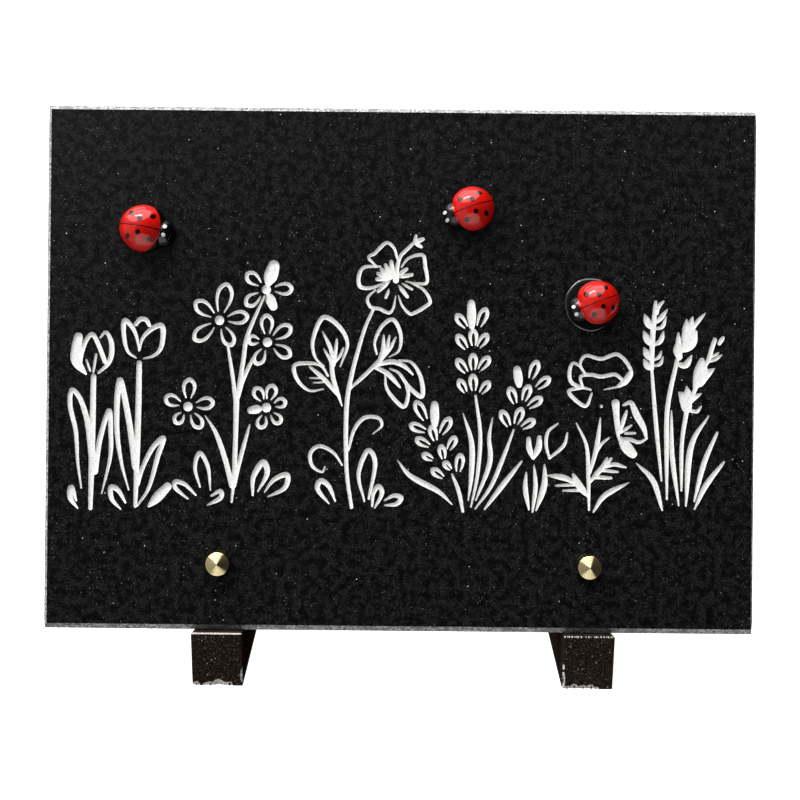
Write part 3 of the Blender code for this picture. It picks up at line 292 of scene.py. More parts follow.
def put(tree, value, socket):
    """Link an output to a socket, or set the socket to a plain value."""
    if isinstance(value, bpy.types.NodeSocket):
        tree.links.new(value, socket)
    elif isinstance(value, tuple) and socket.type == "RGBA":
        socket.default_value = (*value, 1.0)
    else:
        socket.default_value = value


def new_node(tree, kind, sockets, **settings):
    """A new node with its settings, and with its sockets linked or set."""
    node = tree.nodes.new("ShaderNode" + kind)
    for setting, value in settings.items():
        setattr(node, setting, value)
    for socket, value in sockets.items():
        put(tree, value, node.inputs[socket])
    return node


def graded(tree, value, low, high, first, last):
    """A smooth step from a first amount below low to a last one above high."""
    sockets = {"Value": value, "From Min": low, "From Max": high, "To Min": first, "To Max": last}
    return new_node(tree, "MapRange", sockets, interpolation_type="SMOOTHSTEP").outputs["Result"]


class Surface:
    """A material's node tree, with short calls for the textures that the finishes share."""

    def __init__(self, name, roughness, metallic=0.0, **settings):
        self.made = bpy.data.materials.new(name)
        self.made.use_nodes = True
        self.tree = self.made.node_tree
        self.shader = self.tree.nodes["Principled BSDF"]
        for socket, value in {"Roughness": roughness, "Metallic": metallic, **settings}.items():
            self.shader.inputs[socket.replace("_", " ")].default_value = value
        own_place = self.node("TexCoord", {}).outputs["Object"]
        in_millimetres = self.node("VectorMath", {0: own_place, "Scale": MILLIMETRES}, operation="SCALE")
        self.place = in_millimetres.outputs["Vector"]

    def node(self, kind, sockets, **settings):
        """A new node in this material."""
        return new_node(self.tree, kind, sockets, **settings)

    def turn_about_z(self, turn):
        """Turn the place that the textures see, about the piece's own upright."""
        turned_place = self.node("Mapping", {"Rotation": (0.0, 0.0, turn), "Vector": self.place})
        self.place = turned_place.outputs["Vector"]

    def math(self, operation, *values):
        """A Math node over outputs or numbers."""
        return self.node("Math", dict(enumerate(values)), operation=operation).outputs[0]

    def parts(self):
        """The place's three parts, in millimetres."""
        return self.node("SeparateXYZ", {0: self.place}).outputs

    def length(self, across, along):
        """The length of a way that is given by its two parts."""
        squares = [self.math("MULTIPLY", part, part) for part in (across, along)]
        return self.math("POWER", self.math("ADD", *squares), 0.5)

    def noise(self, size, detail=3.0, roughness=0.5):
        """Noise whose lumps are about that many millimetres across."""
        sockets = {"Scale": 1.0 / size, "Detail": detail, "Roughness": roughness, "Vector": self.place}
        return self.node("TexNoise", sockets).outputs["Fac"]

    def ramp(self, value, low, high):
        """0 at low and 1 at high, smooth between; low may be the larger one."""
        if low < high:
            return graded(self.tree, value, low, high, 0.0, 1.0)
        return graded(self.tree, value, high, low, 1.0, 0.0)

    def mix(self, share, first, second):
        """From the first colour to the second; sockets 6 and 7 are a Mix node's colours."""
        return self.node("Mix", {0: share, 6: first, 7: second}, data_type="RGBA").outputs[2]

    def specks(self, size, reach, kept):
        """1 on small round specks, about one in every size millimetres, of which a share is kept."""
        cells = self.node("TexVoronoi", {"Scale": 1.0 / size, "Vector": self.place})
        number = self.node("SeparateColor", {0: cells.outputs["Color"]}).outputs[0]
        near = self.ramp(cells.outputs["Distance"], reach, reach * SPECK_CORE)
        chosen = self.ramp(number, 1.0 - kept, 1.0 - kept + SPECK_CHOICE)
        return self.math("MULTIPLY", near, chosen)

    def finish(self, colour, relief=None, depth=0.0):
        """The material with its colour, and with its relief's depth in metres."""
        put(self.tree, colour, self.shader.inputs["Base Color"])
        if relief is not None:
            bump = self.node("Bump", {"Distance": depth, "Height": relief})
            put(self.tree, bump.outputs["Normal"], self.shader.inputs["Normal"])
        return self.made


# Finishes: noise is given by size in millimetres, detail and roughness

def polished_granite():
    """Black granite: dark-grey flakes in loose clouds, and drifts of tiny light specks."""
    surface = Surface("polished_granite", 0.06)
    clouds = surface.ramp(surface.noise(3.2, 4.0, 0.65), 0.40, 0.60)
    grain = surface.ramp(surface.noise(0.75, 3.0, 0.6), 0.42, 0.72)
    base = surface.mix(clouds, (0.0018, 0.0018, 0.0020), (0.0095, 0.0095, 0.0095))
    strength = surface.math("MULTIPLY_ADD", clouds, 0.55, 0.25)
    base = surface.mix(surface.math("MULTIPLY", grain, strength), base, (0.036, 0.036, 0.036))
    drift = surface.ramp(surface.noise(16.0, 3.0, 0.6), 0.44, 0.62)
    fine = surface.math("MULTIPLY", surface.specks(0.9, 0.24, 0.14), drift)
    base = surface.mix(fine, base, (0.27, 0.27, 0.26))
    base = surface.mix(surface.specks(1.4, 0.15, 0.045), base, (0.34, 0.34, 0.33))
    base = surface.mix(surface.specks(4.0, 0.070, 0.25), base, (0.80, 0.79, 0.77))
    gloss = surface.math("MULTIPLY_ADD", surface.noise(4.0, 3.0), 0.05, 0.04)
    put(surface.tree, gloss, surface.shader.inputs["Roughness"])
    return surface.finish(base)


def stone(surface, grain, levels, dark, light, depth, layers=()):
    """Stone that is dark below the first level of its grain and light above the second, with relief.

    The layers go over it, each as a share and a colour.
    """
    grain = surface.noise(*grain)
    base = surface.mix(surface.ramp(grain, *levels), dark, light)
    for share, colour in layers:
        base = surface.mix(share, base, colour)
    return surface.finish(base, grain, depth)


def sawn_granite():
    """The same stone where the saw left it rough: mottled mid grey."""
    surface = Surface("sawn_granite", 0.80, Specular_IOR_Level=0.3)
    dull = surface.ramp(surface.noise(5.0, 2.0), 0.50, 0.72)
    return stone(surface, (0.9, 5.0, 0.75), (0.38, 0.62), (0.07, 0.07, 0.07), (0.68, 0.68, 0.67), 0.0003,
                 [(dull, (0.22, 0.22, 0.22))])


def honed_granite():
    """The plaque's sides and back, honed but not polished."""
    surface = Surface("honed_granite", 0.42)
    return stone(surface, (0.9, 5.0, 0.7), (0.35, 0.75), (0.012, 0.012, 0.012), (0.050, 0.050, 0.048),
                 0.00008, [(surface.specks(2.4, 0.16, 0.4), (0.16, 0.16, 0.15))])


def foot_granite():
    """The feet's satin stone: nearly black with a brown cast, and fine tan grains."""
    surface = Surface("foot_granite", 0.45, Specular_IOR_Level=0.0)
    return stone(surface, (0.7, 5.0, 0.8), (0.42, 0.72), (0.0050, 0.0033, 0.0026), (0.075, 0.056, 0.044),
                 0.00005, [(surface.specks(0.8, 0.28, 0.26), (0.26, 0.21, 0.16)),
                           (surface.specks(1.7, 0.14, 0.20), (0.75, 0.68, 0.60))])


def chipped_and_highlit_granite():
    """Fresh breaks of the stone, and the painted highlight along the feet's ledge arris: pale grey crystals
    with dark ones between.
    """
    surface = Surface("chipped_and_highlit_granite", 0.55)
    return stone(surface, (0.45, 4.0, 0.8), (0.38, 0.58), (0.30, 0.25, 0.22), (0.95, 0.93, 0.90), 0.00025)


def engraving_paint():
    """White paint in the sandblasted strokes, a little grey where it is thin."""
    surface = Surface("engraving_paint", 0.80, Specular_IOR_Level=0.2)
    thin = surface.ramp(surface.noise(0.8, 4.0, 0.7), 0.44, 0.70)
    base = surface.mix(surface.math("MULTIPLY", thin, 0.55), (0.98, 0.98, 0.965), (0.48, 0.48, 0.47))
    return surface.finish(base, surface.noise(0.35, 4.0, 0.7), 0.00008)


def turned_brass():
    """Brass with the fine rings of the lathe."""
    surface = Surface("turned_brass", 0.11, 1.0)
    x, y, _ = surface.parts()
    rings = surface.math("SINE", surface.math("MULTIPLY", surface.length(x, y), LATHE_RINGS))
    tarnish = surface.ramp(surface.noise(2.0, 4.0), 0.35, 0.75)
    return surface.finish(surface.mix(tarnish, (0.90, 0.76, 0.42), (0.84, 0.68, 0.34)), rings, 0.000006)


def ladybird_glaze(name):
    """Red glaze with a dark wing line, six spots, a black head and two white eyes."""
    eye_place, red_middle, red_reach, turn = MARKINGS[name]
    radius = LADYBIRDS[name][2] / 2.0 * MILLIMETRES
    surface = Surface(name + "_glaze", 0.09)
    surface.turn_about_z(turn)
    x, y, _ = surface.parts()
    side = surface.math("ABSOLUTE", y)

    def spot(along, across, reach):
        """1 on a round spot and on its mirror image, all in shares of the body's radius."""
        gap_x = surface.math("SUBTRACT", x, along * radius)
        gap_y = surface.math("SUBTRACT", side, across * radius)
        edge = reach * radius
        return surface.ramp(surface.length(gap_x, gap_y), edge + SOFT_EDGE, edge - SOFT_EDGE)

    shade = surface.ramp(surface.noise(4.0, 2.0), 0.3, 0.7)
    base = surface.mix(shade, (0.66, 0.007, 0.003), (0.56, 0.005, 0.003))
    groove = WING_GROOVE_SHARE * radius
    wing_line = surface.ramp(side, groove * WING_LINE_EDGE, groove * WING_LINE_CORE)
    base = surface.mix(wing_line, base, (0.045, 0.0005, 0.0005))
    for along, across in SPOTS:
        base = surface.mix(spot(along, across, SPOT_RADIUS), base, (0.010, 0.0005, 0.0005))
    forward = surface.math("DIVIDE", surface.math("SUBTRACT", x, red_middle * radius), red_reach * radius)
    forward = surface.math("MAXIMUM", forward, 0.0)
    sideways = surface.math("DIVIDE", side, RED_HALF_WIDTH * radius)
    out_of_red = surface.math("MULTIPLY_ADD", forward, forward, surface.math("MULTIPLY", sideways, sideways))
    base = surface.mix(surface.ramp(out_of_red, *RED_EDGE), base, (0.0012, 0.0012, 0.0012))
    return surface.finish(surface.mix(spot(eye_place, EYE_SIDE, EYE_RADIUS), base, (0.90, 0.90, 0.88)))


def dark_glue():
    """Clear glue over black stone."""
    surface = Surface("dark_glue", 0.08, Specular_IOR_Level=1.0)
    return surface.finish(surface.mix(surface.noise(1.5, 2.0), (0.004, 0.004, 0.004), (0.012, 0.011, 0.010)))


# Meshes

def new_object(name, bm, closed=True):
    """An object in the scene with a bmesh's faces, turned outwards on a closed shape."""
    if closed:
        bmesh.ops.recalc_face_normals(bm, faces=bm.faces)
    mesh = bpy.data.meshes.new(name)
    bm.to_mesh(mesh)
    bm.free()
    made = bpy.data.objects.new(name, mesh)
    bpy.context.scene.collection.objects.link(made)
    return made


def mesh_piece(name, bm, node, finishes, matrix=None, smooth_below=None):
    """A finished piece that stands for a CAD node and rides with the object."""
    piece = new_object(name, bm)
    for finish in finishes:
        piece.data.materials.append(finish)
    if smooth_below is not None:
        piece.data.shade_smooth()
        piece.data.set_sharp_from_angle(angle=math.radians(smooth_below))
    if matrix is not None:
        piece.matrix_world = matrix
    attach(piece, "root")
    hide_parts(node)
    return piece


def combined(target, other, operation):
    """The target's faces after the other is cut out of it or joined on; both objects are removed."""
    step = target.modifiers.new(other.name, "BOOLEAN")
    step.operation = operation
    step.solver = "EXACT"
    step.object = other
    bpy.context.view_layer.update()
    evaluated = target.evaluated_get(bpy.context.evaluated_depsgraph_get())
    mesh = bpy.data.meshes.new_from_object(evaluated)
    bm = bmesh.new()
    bm.from_mesh(mesh)
    bpy.data.meshes.remove(mesh)
    for item in (target, other):
        bpy.data.objects.remove(item, do_unlink=True)
    return bm


def ring_points(radius, sides, middle=(0.0, 0.0)):
    """The flat points of a circle."""
    turns = [2.0 * math.pi * step / sides for step in range(sides)]
    return [Vector((middle[0] + radius * math.cos(a), middle[1] + radius * math.sin(a))) for a in turns]


def turned(profile, sides):
    """A closed turned shape from (radius, height) pairs that start and end on the axis, as a bmesh."""
    bm = bmesh.new()
    rings = []
    for radius, height in profile:
        if radius == 0.0:
            rings.append([bm.verts.new((0.0, 0.0, height))])
        else:
            rings.append([bm.verts.new((*place, height)) for place in ring_points(radius, sides)])
    for lower, upper in zip(rings, rings[1:]):
        for step in range(sides):
            following = (step + 1) % sides
            corners = [lower[step % len(lower)], lower[following % len(lower)]]
            corners += [upper[following % len(upper)], upper[step % len(upper)]]
            bm.faces.new(list(dict.fromkeys(corners)))
    return bm


def rounded(corner, before, after, radius, steps=5, second_radius=None):
    """Points that round the corner of a profile."""
    corner, before, after = Vector(corner), Vector(before), Vector(after)
    start = corner + (before - corner).normalized() * radius
    end = corner + (after - corner).normalized() * (second_radius or radius)
    points = []
    for step in range(steps + 1):
        t = step / steps
        points.append(tuple(start * (1.0 - t) ** 2 + corner * 2.0 * t * (1.0 - t) + end * t * t))
    return points


# Drawing tools: points are in drawing steps, right of the plaque's middle and up from its bottom edge

class Drawing:
    """Collects the strokes that are cut into the face."""

    def __init__(self):
        self.corners = []
        self.pieces = []

    def stroke(self, points, widths):
        """A line along a smooth path, with its width at the start, the middle and the end."""
        path = smooth(points)
        travelled = [0.0]
        for before, after in zip(path, path[1:]):
            travelled.append(travelled[-1] + (after - before).length)
        first = len(self.corners)
        for index, place in enumerate(path):
            heading = (path[min(index + 1, len(path) - 1)] - path[max(index - 1, 0)]).normalized()
            half = width_at(travelled[index] / travelled[-1], widths) / 2.0
            across = Vector((-heading.y, heading.x)) * half
            self.corners += [place + across, place - across]
        for at in range(first, first + 2 * len(path) - 2, 2):
            self.triangle(at + 1, at + 3, at + 2)
            self.triangle(at + 1, at + 2, at)
        last = first + 2 * len(path) - 2
        self.round_end(first, first + 1, path[0] - path[1])
        self.round_end(last + 1, last, path[-1] - path[-2])

    def strokes(self, rows):
        """Lines that are each given by the three widths and then the points."""
        for widths, *points in rows:
            self.stroke(points, widths)

    def triangle(self, a, b, c):
        """A filled triangle; where a line turns sharply its corners are given the other way round."""
        start = self.corners[a]
        turn = (self.corners[b] - start).cross(self.corners[c] - start)
        if abs(turn) > SMALLEST_TURN:
            self.pieces.append((a, b, c) if turn > 0.0 else (a, c, b))

    def round_end(self, first, last, outward):
        """A half-round end on a stroke, between its last two corners."""
        start, end = self.corners[first], self.corners[last]
        middle, across = (start + end) / 2.0, (start - end) / 2.0
        ahead = outward.normalized() * across.length * END_BULGE
        added = len(self.corners)
        for step in range(1, END_STEPS):
            turn = math.pi * step / END_STEPS
            self.corners.append(middle + across * math.cos(turn) + ahead * math.sin(turn))
        self.pieces.append((first, *range(added, len(self.corners)), last))

    def petal(self, foot, tip, width, foot_share=0.25):
        """A filled petal: narrow at its foot, widest towards its round tip."""
        foot, tip = Vector(foot), Vector(tip)
        way = (tip - foot).normalized()
        last = tip - way * width * PETAL_TIP
        widths = [width * share for share in (foot_share, PETAL_MIDDLE_SHARE, PETAL_TIP_SHARE)]
        self.stroke([foot, foot.lerp(last, 0.5), last], widths)

    def loop(self, foot, tip, width, weight, opening=0.5):
        """A petal drawn as a line that runs out, round the tip and back, open towards its foot."""
        foot, tip = Vector(foot), Vector(tip)
        out = (tip - foot).normalized()
        side = Vector((-out.y, out.x)) * width / 2.0
        length = (tip - foot).length - weight / 2.0
        shape = ((opening, 0.0), *LOOP_WAY)
        half = [foot + side * across + out * length * ahead for across, ahead in shape]
        other = [foot - side * across + out * length * ahead for across, ahead in reversed(shape[:-1])]
        self.stroke(half + other, (weight * LOOP_END_SHARE, weight, weight * LOOP_END_SHARE))

    def dot(self, centre, diameter):
        """A filled round spot."""
        first = len(self.corners)
        for step in range(DOT_SIDES):
            self.corners.append(polar(centre, 360.0 * step / DOT_SIDES, diameter / 2.0))
        self.pieces.append(tuple(range(first, first + DOT_SIDES)))


def smooth(points):
    """Close points on a curve that passes through the given ones."""
    given = [Vector(point) for point in points]
    padded = [given[0] * 2.0 - given[1]] + given + [given[-1] * 2.0 - given[-2]]
    path = []
    for a, b, c, d in zip(padded, padded[1:], padded[2:], padded[3:]):
        for step in range(CURVE_STEPS):
            t = step / CURVE_STEPS
            bend = (a * 2.0 - b * 5.0 + c * 4.0 - d) * t * t + (b * 3.0 - a - c * 3.0 + d) * t ** 3
            path.append((b * 2.0 + (c - a) * t + bend) * 0.5)
    return path + [given[-1]]


def thin_out(path, tolerance):
    """Leave out the points that lie nearly on the line between those that stay."""
    if len(path) < 3:
        return path
    start, end = path[0], path[-1]
    along = (end - start).normalized() if (end - start).length > 0.0 else Vector((1.0, 0.0))
    offsets = [abs(along.x * (p - start).y - along.y * (p - start).x) for p in path]
    furthest = max(range(len(path)), key=offsets.__getitem__)
    if offsets[furthest] <= tolerance:
        return [start, end]
    return thin_out(path[:furthest + 1], tolerance)[:-1] + thin_out(path[furthest:], tolerance)


def width_at(share, widths):
    """A stroke's width at a share of its length."""
    first, middle, last = widths
    if share < 0.5:
        return first + (middle - first) * math.sin(math.pi * share)
    return last + (middle - last) * math.sin(math.pi * share)


def polar(centre, angle, reach):
    """The point at a distance from a centre, in a direction given in degrees."""
    turn = math.radians(angle)
    return Vector(centre) + Vector((math.cos(turn), math.sin(turn))) * reach


# Flowers

def tulips(drawing):
    """Two tulips with folded petals, and their sword leaves."""
    drawing.strokes((
        # The stems, and the sword leaves, each as one line from foot to tip and back
        ((2.1, 2.4, 1.6), (-121.1, 99.8), (-121.3, 81.0), (-121.8, 47.6)),
        ((2.1, 2.4, 1.4), (-103.1, 105.2), (-103.3, 86.0), (-104.1, 48.6)),
        ((0.6, 1.9, 2.6), (-125.5, 55.6), (-127.0, 66.0), (-127.9, 78.0), (-130.2, 88.0), (-129.6, 94.2),
         (-126.2, 90.6), (-123.3, 81.6), (-121.4, 68.0)),
        ((2.4, 1.9, 0.5), (-120.2, 62.0), (-118.4, 74.6), (-114.9, 86.2), (-114.1, 78.0), (-114.2, 68.0),
         (-117.4, 53.4)),
        ((0.6, 2.3, 2.4), (-106.8, 55.0), (-109.8, 66.0), (-111.6, 78.0), (-111.7, 90.0), (-110.7, 98.3),
         (-109.0, 92.6), (-106.5, 79.6), (-104.3, 64.0)),
        ((1.5, 2.0, 0.8), (-103.3, 57.0), (-101.2, 64.2), (-97.4, 71.8), (-93.2, 75.6), (-95.4, 68.4),
         (-98.8, 56.0), (-103.3, 48.8)),
        # The left head: a filled petal, the middle petal, the right petal and two anthers
        ((3.4, 4.2, 0.8), (-127.2, 115.4), (-128.0, 110.6), (-127.9, 105.6), (-124.1, 100.6)),
        ((1.0, 1.8, 1.8), (-126.2, 103.0), (-125.9, 108.0), (-124.3, 113.6), (-121.7, 116.2), (-119.2, 112.0),
         (-116.6, 105.4)),
        ((0.8, 2.1, 0.9), (-118.6, 115.0), (-116.4, 117.2), (-114.3, 113.6), (-114.1, 108.6), (-115.4, 104.8),
         (-119.2, 101.0)),
        ((0.9, 0.9, 0.7), (-124.0, 106.2), (-122.4, 101.8)),
        ((1.0, 1.1, 0.7), (-120.2, 108.4), (-121.2, 101.2)),
        # The right head: the left petal, the arch behind, and the wide right petal
        ((0.7, 1.9, 0.6), (-104.4, 107.2), (-107.6, 109.6), (-109.2, 115.2), (-109.2, 121.8), (-106.4, 119.8),
         (-104.3, 115.6), (-103.2, 110.0)),
        ((1.6, 1.9, 1.4), (-104.7, 120.4), (-102.8, 122.4), (-100.6, 122.2), (-99.2, 120.0)),
        ((0.7, 2.1, 0.6), (-103.1, 110.2), (-101.8, 115.0), (-98.2, 118.7), (-94.5, 120.0), (-93.8, 116.4),
         (-94.8, 110.8), (-97.8, 107.9), (-101.4, 106.9)),
        # Young leaves at the ground
        ((0.6, 2.3, 0.7), (-126.9, 47.6), (-129.8, 51.8), (-129.4, 55.8), (-127.4, 50.6)),
        ((0.6, 2.1, 0.8), (-109.9, 47.4), (-113.4, 51.4), (-113.8, 55.9), (-110.9, 54.8), (-108.0, 50.0)),
    ))
    drawing.petal((-98.8, 48.6), (-90.2, 57.8), 4.4)


def daisies(drawing):
    """Five five-petalled daisies on one branching stem; some of their petals are filled."""
    drawing.strokes((
        ((0.9, 1.9, 2.4), (-66.1, 50.6), (-65.3, 60.0), (-64.8, 76.0), (-64.6, 93.0)),
        ((2.2, 2.0, 0.5), (-66.0, 57.0), (-69.0, 68.0), (-72.6, 77.8), (-76.9, 84.6)),
        ((2.0, 1.7, 0.8), (-65.4, 57.0), (-62.9, 67.6), (-59.3, 81.0)),
        ((1.6, 1.5, 0.9), (-64.9, 90.0), (-66.0, 99.0), (-68.2, 112.4)),
        ((1.8, 1.7, 0.8), (-64.3, 92.0), (-62.0, 107.0), (-61.0, 114.6), (-58.6, 121.4), (-53.9, 132.0)),
        ((1.8, 1.7, 1.3), (-64.1, 92.0), (-61.8, 99.6), (-58.2, 107.4)),
    ))
    # Each head: its centre, then the directions and reaches of its outlined petals and of its filled ones
    heads = (
        ((-71.6, 122.3), ((79, 15.3), (143, 12.5), (218, 13.1), (297, 11.6), (9, 11.9)), ()),
        ((-53.2, 134.6), ((141, 10.5), (3, 10.8), (217, 10.6)), ((73, 12.3), (293, 9.0))),
        ((-52.6, 113.8), ((92, 11.4), (35, 11.7), (330, 11.1), (243, 10.2), (172, 8.3)), ()),
        ((-83.7, 88.1), ((87, 11.5), (159, 10.2), (233, 8.7), (302, 10.3), (11, 10.8)), ()),
        ((-52.7, 88.0), ((120, 9.5), (74, 9.8), (19, 8.6), (313, 8.7), (253, 9.0)), ((190, 7.8),)),
    )
    for centre, outlined, filled_ones in heads:
        drawing.dot(centre, DAISY_MIDDLE)
        for direction, reach in outlined:
            foot, tip = polar(centre, direction, DAISY_PETAL_START), polar(centre, direction, reach)
            drawing.loop(foot, tip, reach * DAISY_WIDTH_SHARE + WIDTH_MORE, FINE_LINE, 0.45)
        for direction, reach in filled_ones:
            foot, tip = polar(centre, direction, FILLED_PETAL_START), polar(centre, direction, reach)
            drawing.petal(foot, tip, reach * FILLED_WIDTH_SHARE)
    # Young leaves at the ground, each one line round its tip
    drawing.strokes((
        ((0.6, 1.8, 0.7), (-83.3, 51.7), (-88.2, 55.8), (-88.4, 58.4), (-84.6, 57.4), (-80.2, 53.2)),
        ((0.7, 1.7, 0.5), (-78.6, 56.4), (-80.7, 64.0), (-78.9, 69.9), (-75.6, 64.4), (-74.5, 55.2)),
        ((0.8, 1.9, 0.6), (-74.1, 53.0), (-70.6, 54.9), (-70.5, 52.2), (-75.6, 49.3)),
        ((0.8, 2.4, 0.6), (-57.8, 53.4), (-57.6, 60.6), (-53.8, 66.4), (-52.2, 62.0), (-55.8, 54.8)),
        ((0.6, 2.1, 0.6), (-53.2, 54.6), (-49.4, 59.6), (-44.3, 61.5), (-45.2, 56.4), (-51.8, 52.8)),
    ))


def hibiscus(drawing):
    """The tall flower in the middle, with five ruffled petals, veined leaves and tendrils."""
    drawing.strokes((
        # The five petals, from the one at the upper left and round to the left
        ((0.9, 1.4, 0.8), (-1.6, 147.4), (-2.9, 151.4), (-5.6, 153.6), (-8.4, 151.6), (-10.6, 149.2),
         (-13.0, 147.6), (-9.8, 144.2)),
        ((0.8, 1.6, 0.7), (-8.2, 144.1), (-14.6, 143.8), (-16.7, 140.4), (-16.2, 136.2), (-11.6, 135.7),
         (-5.6, 138.2)),
        ((0.8, 1.4, 0.5), (-10.1, 134.9), (-13.2, 131.6), (-12.0, 128.2), (-8.4, 127.4), (-4.6, 125.9),
         (-2.9, 128.2), (-2.1, 132.6)),
        ((0.6, 1.5, 0.6), (-1.0, 132.6), (0.6, 128.6), (3.6, 125.6), (5.8, 126.2), (9.2, 128.2),
         (11.5, 130.6), (8.8, 135.2), (3.0, 138.2)),
        ((0.8, 1.5, 0.6), (0.0, 144.0), (3.0, 147.6), (8.4, 148.8), (9.4, 144.6), (10.2, 138.2), (6.4, 137.6),
         (1.8, 138.3)),
        # The pistil, the stem, the tendrils and the stalks
        ((2.4, 1.5, 1.3), (-2.1, 138.6), (-1.6, 144.0), (-0.4, 148.2), (2.4, 151.2), (5.2, 154.0)),
        ((1.2, 1.8, 1.4), (-10.9, 127.2), (-14.6, 118.4), (-19.1, 101.6), (-21.1, 88.0), (-20.9, 64.7),
         (-18.8, 49.0)),
        ((0.9, 1.6, 0.5), (-20.2, 71.6), (-17.9, 79.8), (-13.8, 84.4), (-8.4, 84.3), (-7.2, 81.2),
         (-10.6, 78.0)),
        ((0.7, 1.6, 0.7), (-22.6, 65.6), (-26.2, 70.6), (-31.6, 73.0), (-35.2, 70.2), (-34.4, 65.2),
         (-30.6, 62.8), (-29.4, 64.8)),
        ((1.8, 1.8, 0.5), (-27.2, 106.4), (-26.4, 99.6), (-22.9, 89.0)),
        ((1.0, 1.6, 1.8), (-20.0, 95.6), (-13.4, 101.8), (-7.0, 108.4)),
        # The outlines of the leaves
        ((0.6, 1.9, 0.6), (-30.1, 104.4), (-33.8, 108.4), (-34.6, 115.0), (-30.8, 123.7), (-24.6, 120.6),
         (-21.0, 113.6), (-23.7, 104.5)),
        ((0.8, 1.6, 0.6), (-28.5, 100.8), (-31.6, 104.9), (-37.6, 105.7), (-42.0, 104.4), (-40.4, 98.8),
         (-35.8, 94.9), (-30.3, 95.5)),
        ((0.7, 1.6, 0.6), (-9.3, 109.4), (-10.2, 114.4), (-7.4, 120.6), (-3.0, 123.2), (0.0, 117.4),
         (-0.6, 111.2), (-4.4, 108.4)),
        ((0.7, 1.8, 0.8), (-0.6, 107.2), (4.6, 106.2), (8.2, 100.2), (8.6, 93.0), (3.4, 96.8), (-0.4, 102.0),
         (-4.0, 103.8)),
        ((0.7, 1.6, 1.3), (-6.0, 101.2), (-5.0, 95.4), (1.2, 88.9), (3.2, 93.6), (2.4, 97.6)),
        # Their veins
        ((2.0, 1.6, 0.6), (-26.6, 105.0), (-27.6, 111.4), (-30.8, 118.2)),
        ((2.0, 1.5, 0.8), (-26.6, 105.4), (-25.7, 110.0), (-25.2, 115.2)),
        ((1.6, 1.1, 0.7), (-27.2, 106.0), (-28.6, 108.6), (-30.3, 111.4)),
        ((1.6, 1.3, 0.7), (-26.2, 106.2), (-24.0, 108.6), (-22.5, 111.8)),
        ((0.9, 1.8, 1.4), (-35.9, 104.4), (-30.4, 99.8), (-24.6, 93.4)),
        ((0.6, 0.8, 0.8), (-35.8, 99.9), (-33.0, 99.8), (-30.4, 100.0)),
        ((0.6, 0.8, 0.8), (-34.2, 98.0), (-31.8, 98.1), (-29.0, 98.6)),
        ((2.0, 1.6, 0.8), (-8.0, 107.2), (-6.9, 112.0), (-6.7, 117.0)),
        ((1.6, 1.4, 0.8), (-7.0, 108.8), (-5.3, 112.6), (-4.4, 116.8)),
        ((1.6, 1.4, 0.7), (-6.8, 108.6), (-4.2, 111.8), (-1.9, 116.2)),
        ((1.4, 2.0, 0.7), (-10.2, 105.0), (-3.4, 106.6), (1.6, 104.8), (5.0, 101.6)),
        ((1.0, 2.0, 0.7), (-11.0, 104.6), (-5.2, 102.0), (0.1, 96.4)),
        # Young leaves at the ground
        ((0.6, 2.1, 0.7), (-27.7, 50.4), (-32.2, 56.0), (-31.0, 59.3), (-27.8, 57.2), (-25.2, 51.4)),
        ((0.7, 1.9, 0.9), (-13.7, 51.4), (-16.1, 62.0), (-12.6, 71.4), (-9.6, 66.4), (-12.0, 52.4)),
        ((0.8, 1.9, 0.7), (-10.6, 49.5), (-10.2, 54.6), (-8.2, 57.4), (-6.8, 54.6), (-9.6, 48.8)),
        ((0.6, 1.9, 0.7), (-5.8, 51.8), (-2.0, 53.8), (0.8, 52.8), (-1.2, 50.4), (-5.6, 49.9)),
    ))
    # The veins round the middle: their directions, reaches and widths
    centre = (-3.2, 139.6)
    for direction, start, reach, width in (
            (97, 0.0, 7.4, 2.2), (121, 0.0, 6.8, 2.2), (144, 0.0, 6.6, 2.2), (164, 0.0, 7.0, 2.2),
            (184, 0.0, 7.2, 2.2), (222, 1.6, 8.6, 1.9), (250, 4.6, 8.8, 1.5), (308, 3.6, 10.0, 1.9),
            (330, 4.0, 9.2, 1.3), (34, 2.0, 7.2, 1.9), (11, 2.0, 8.3, 1.9)):
        drawing.petal(polar(centre, direction, start), polar(centre, direction, reach), width)
    for tip, width in (((5.9, 157.0), 1.6), ((9.2, 155.4), 2.1), ((8.4, 151.8), 1.9)):
        drawing.petal((5.0, 153.8), tip, width, 0.5)


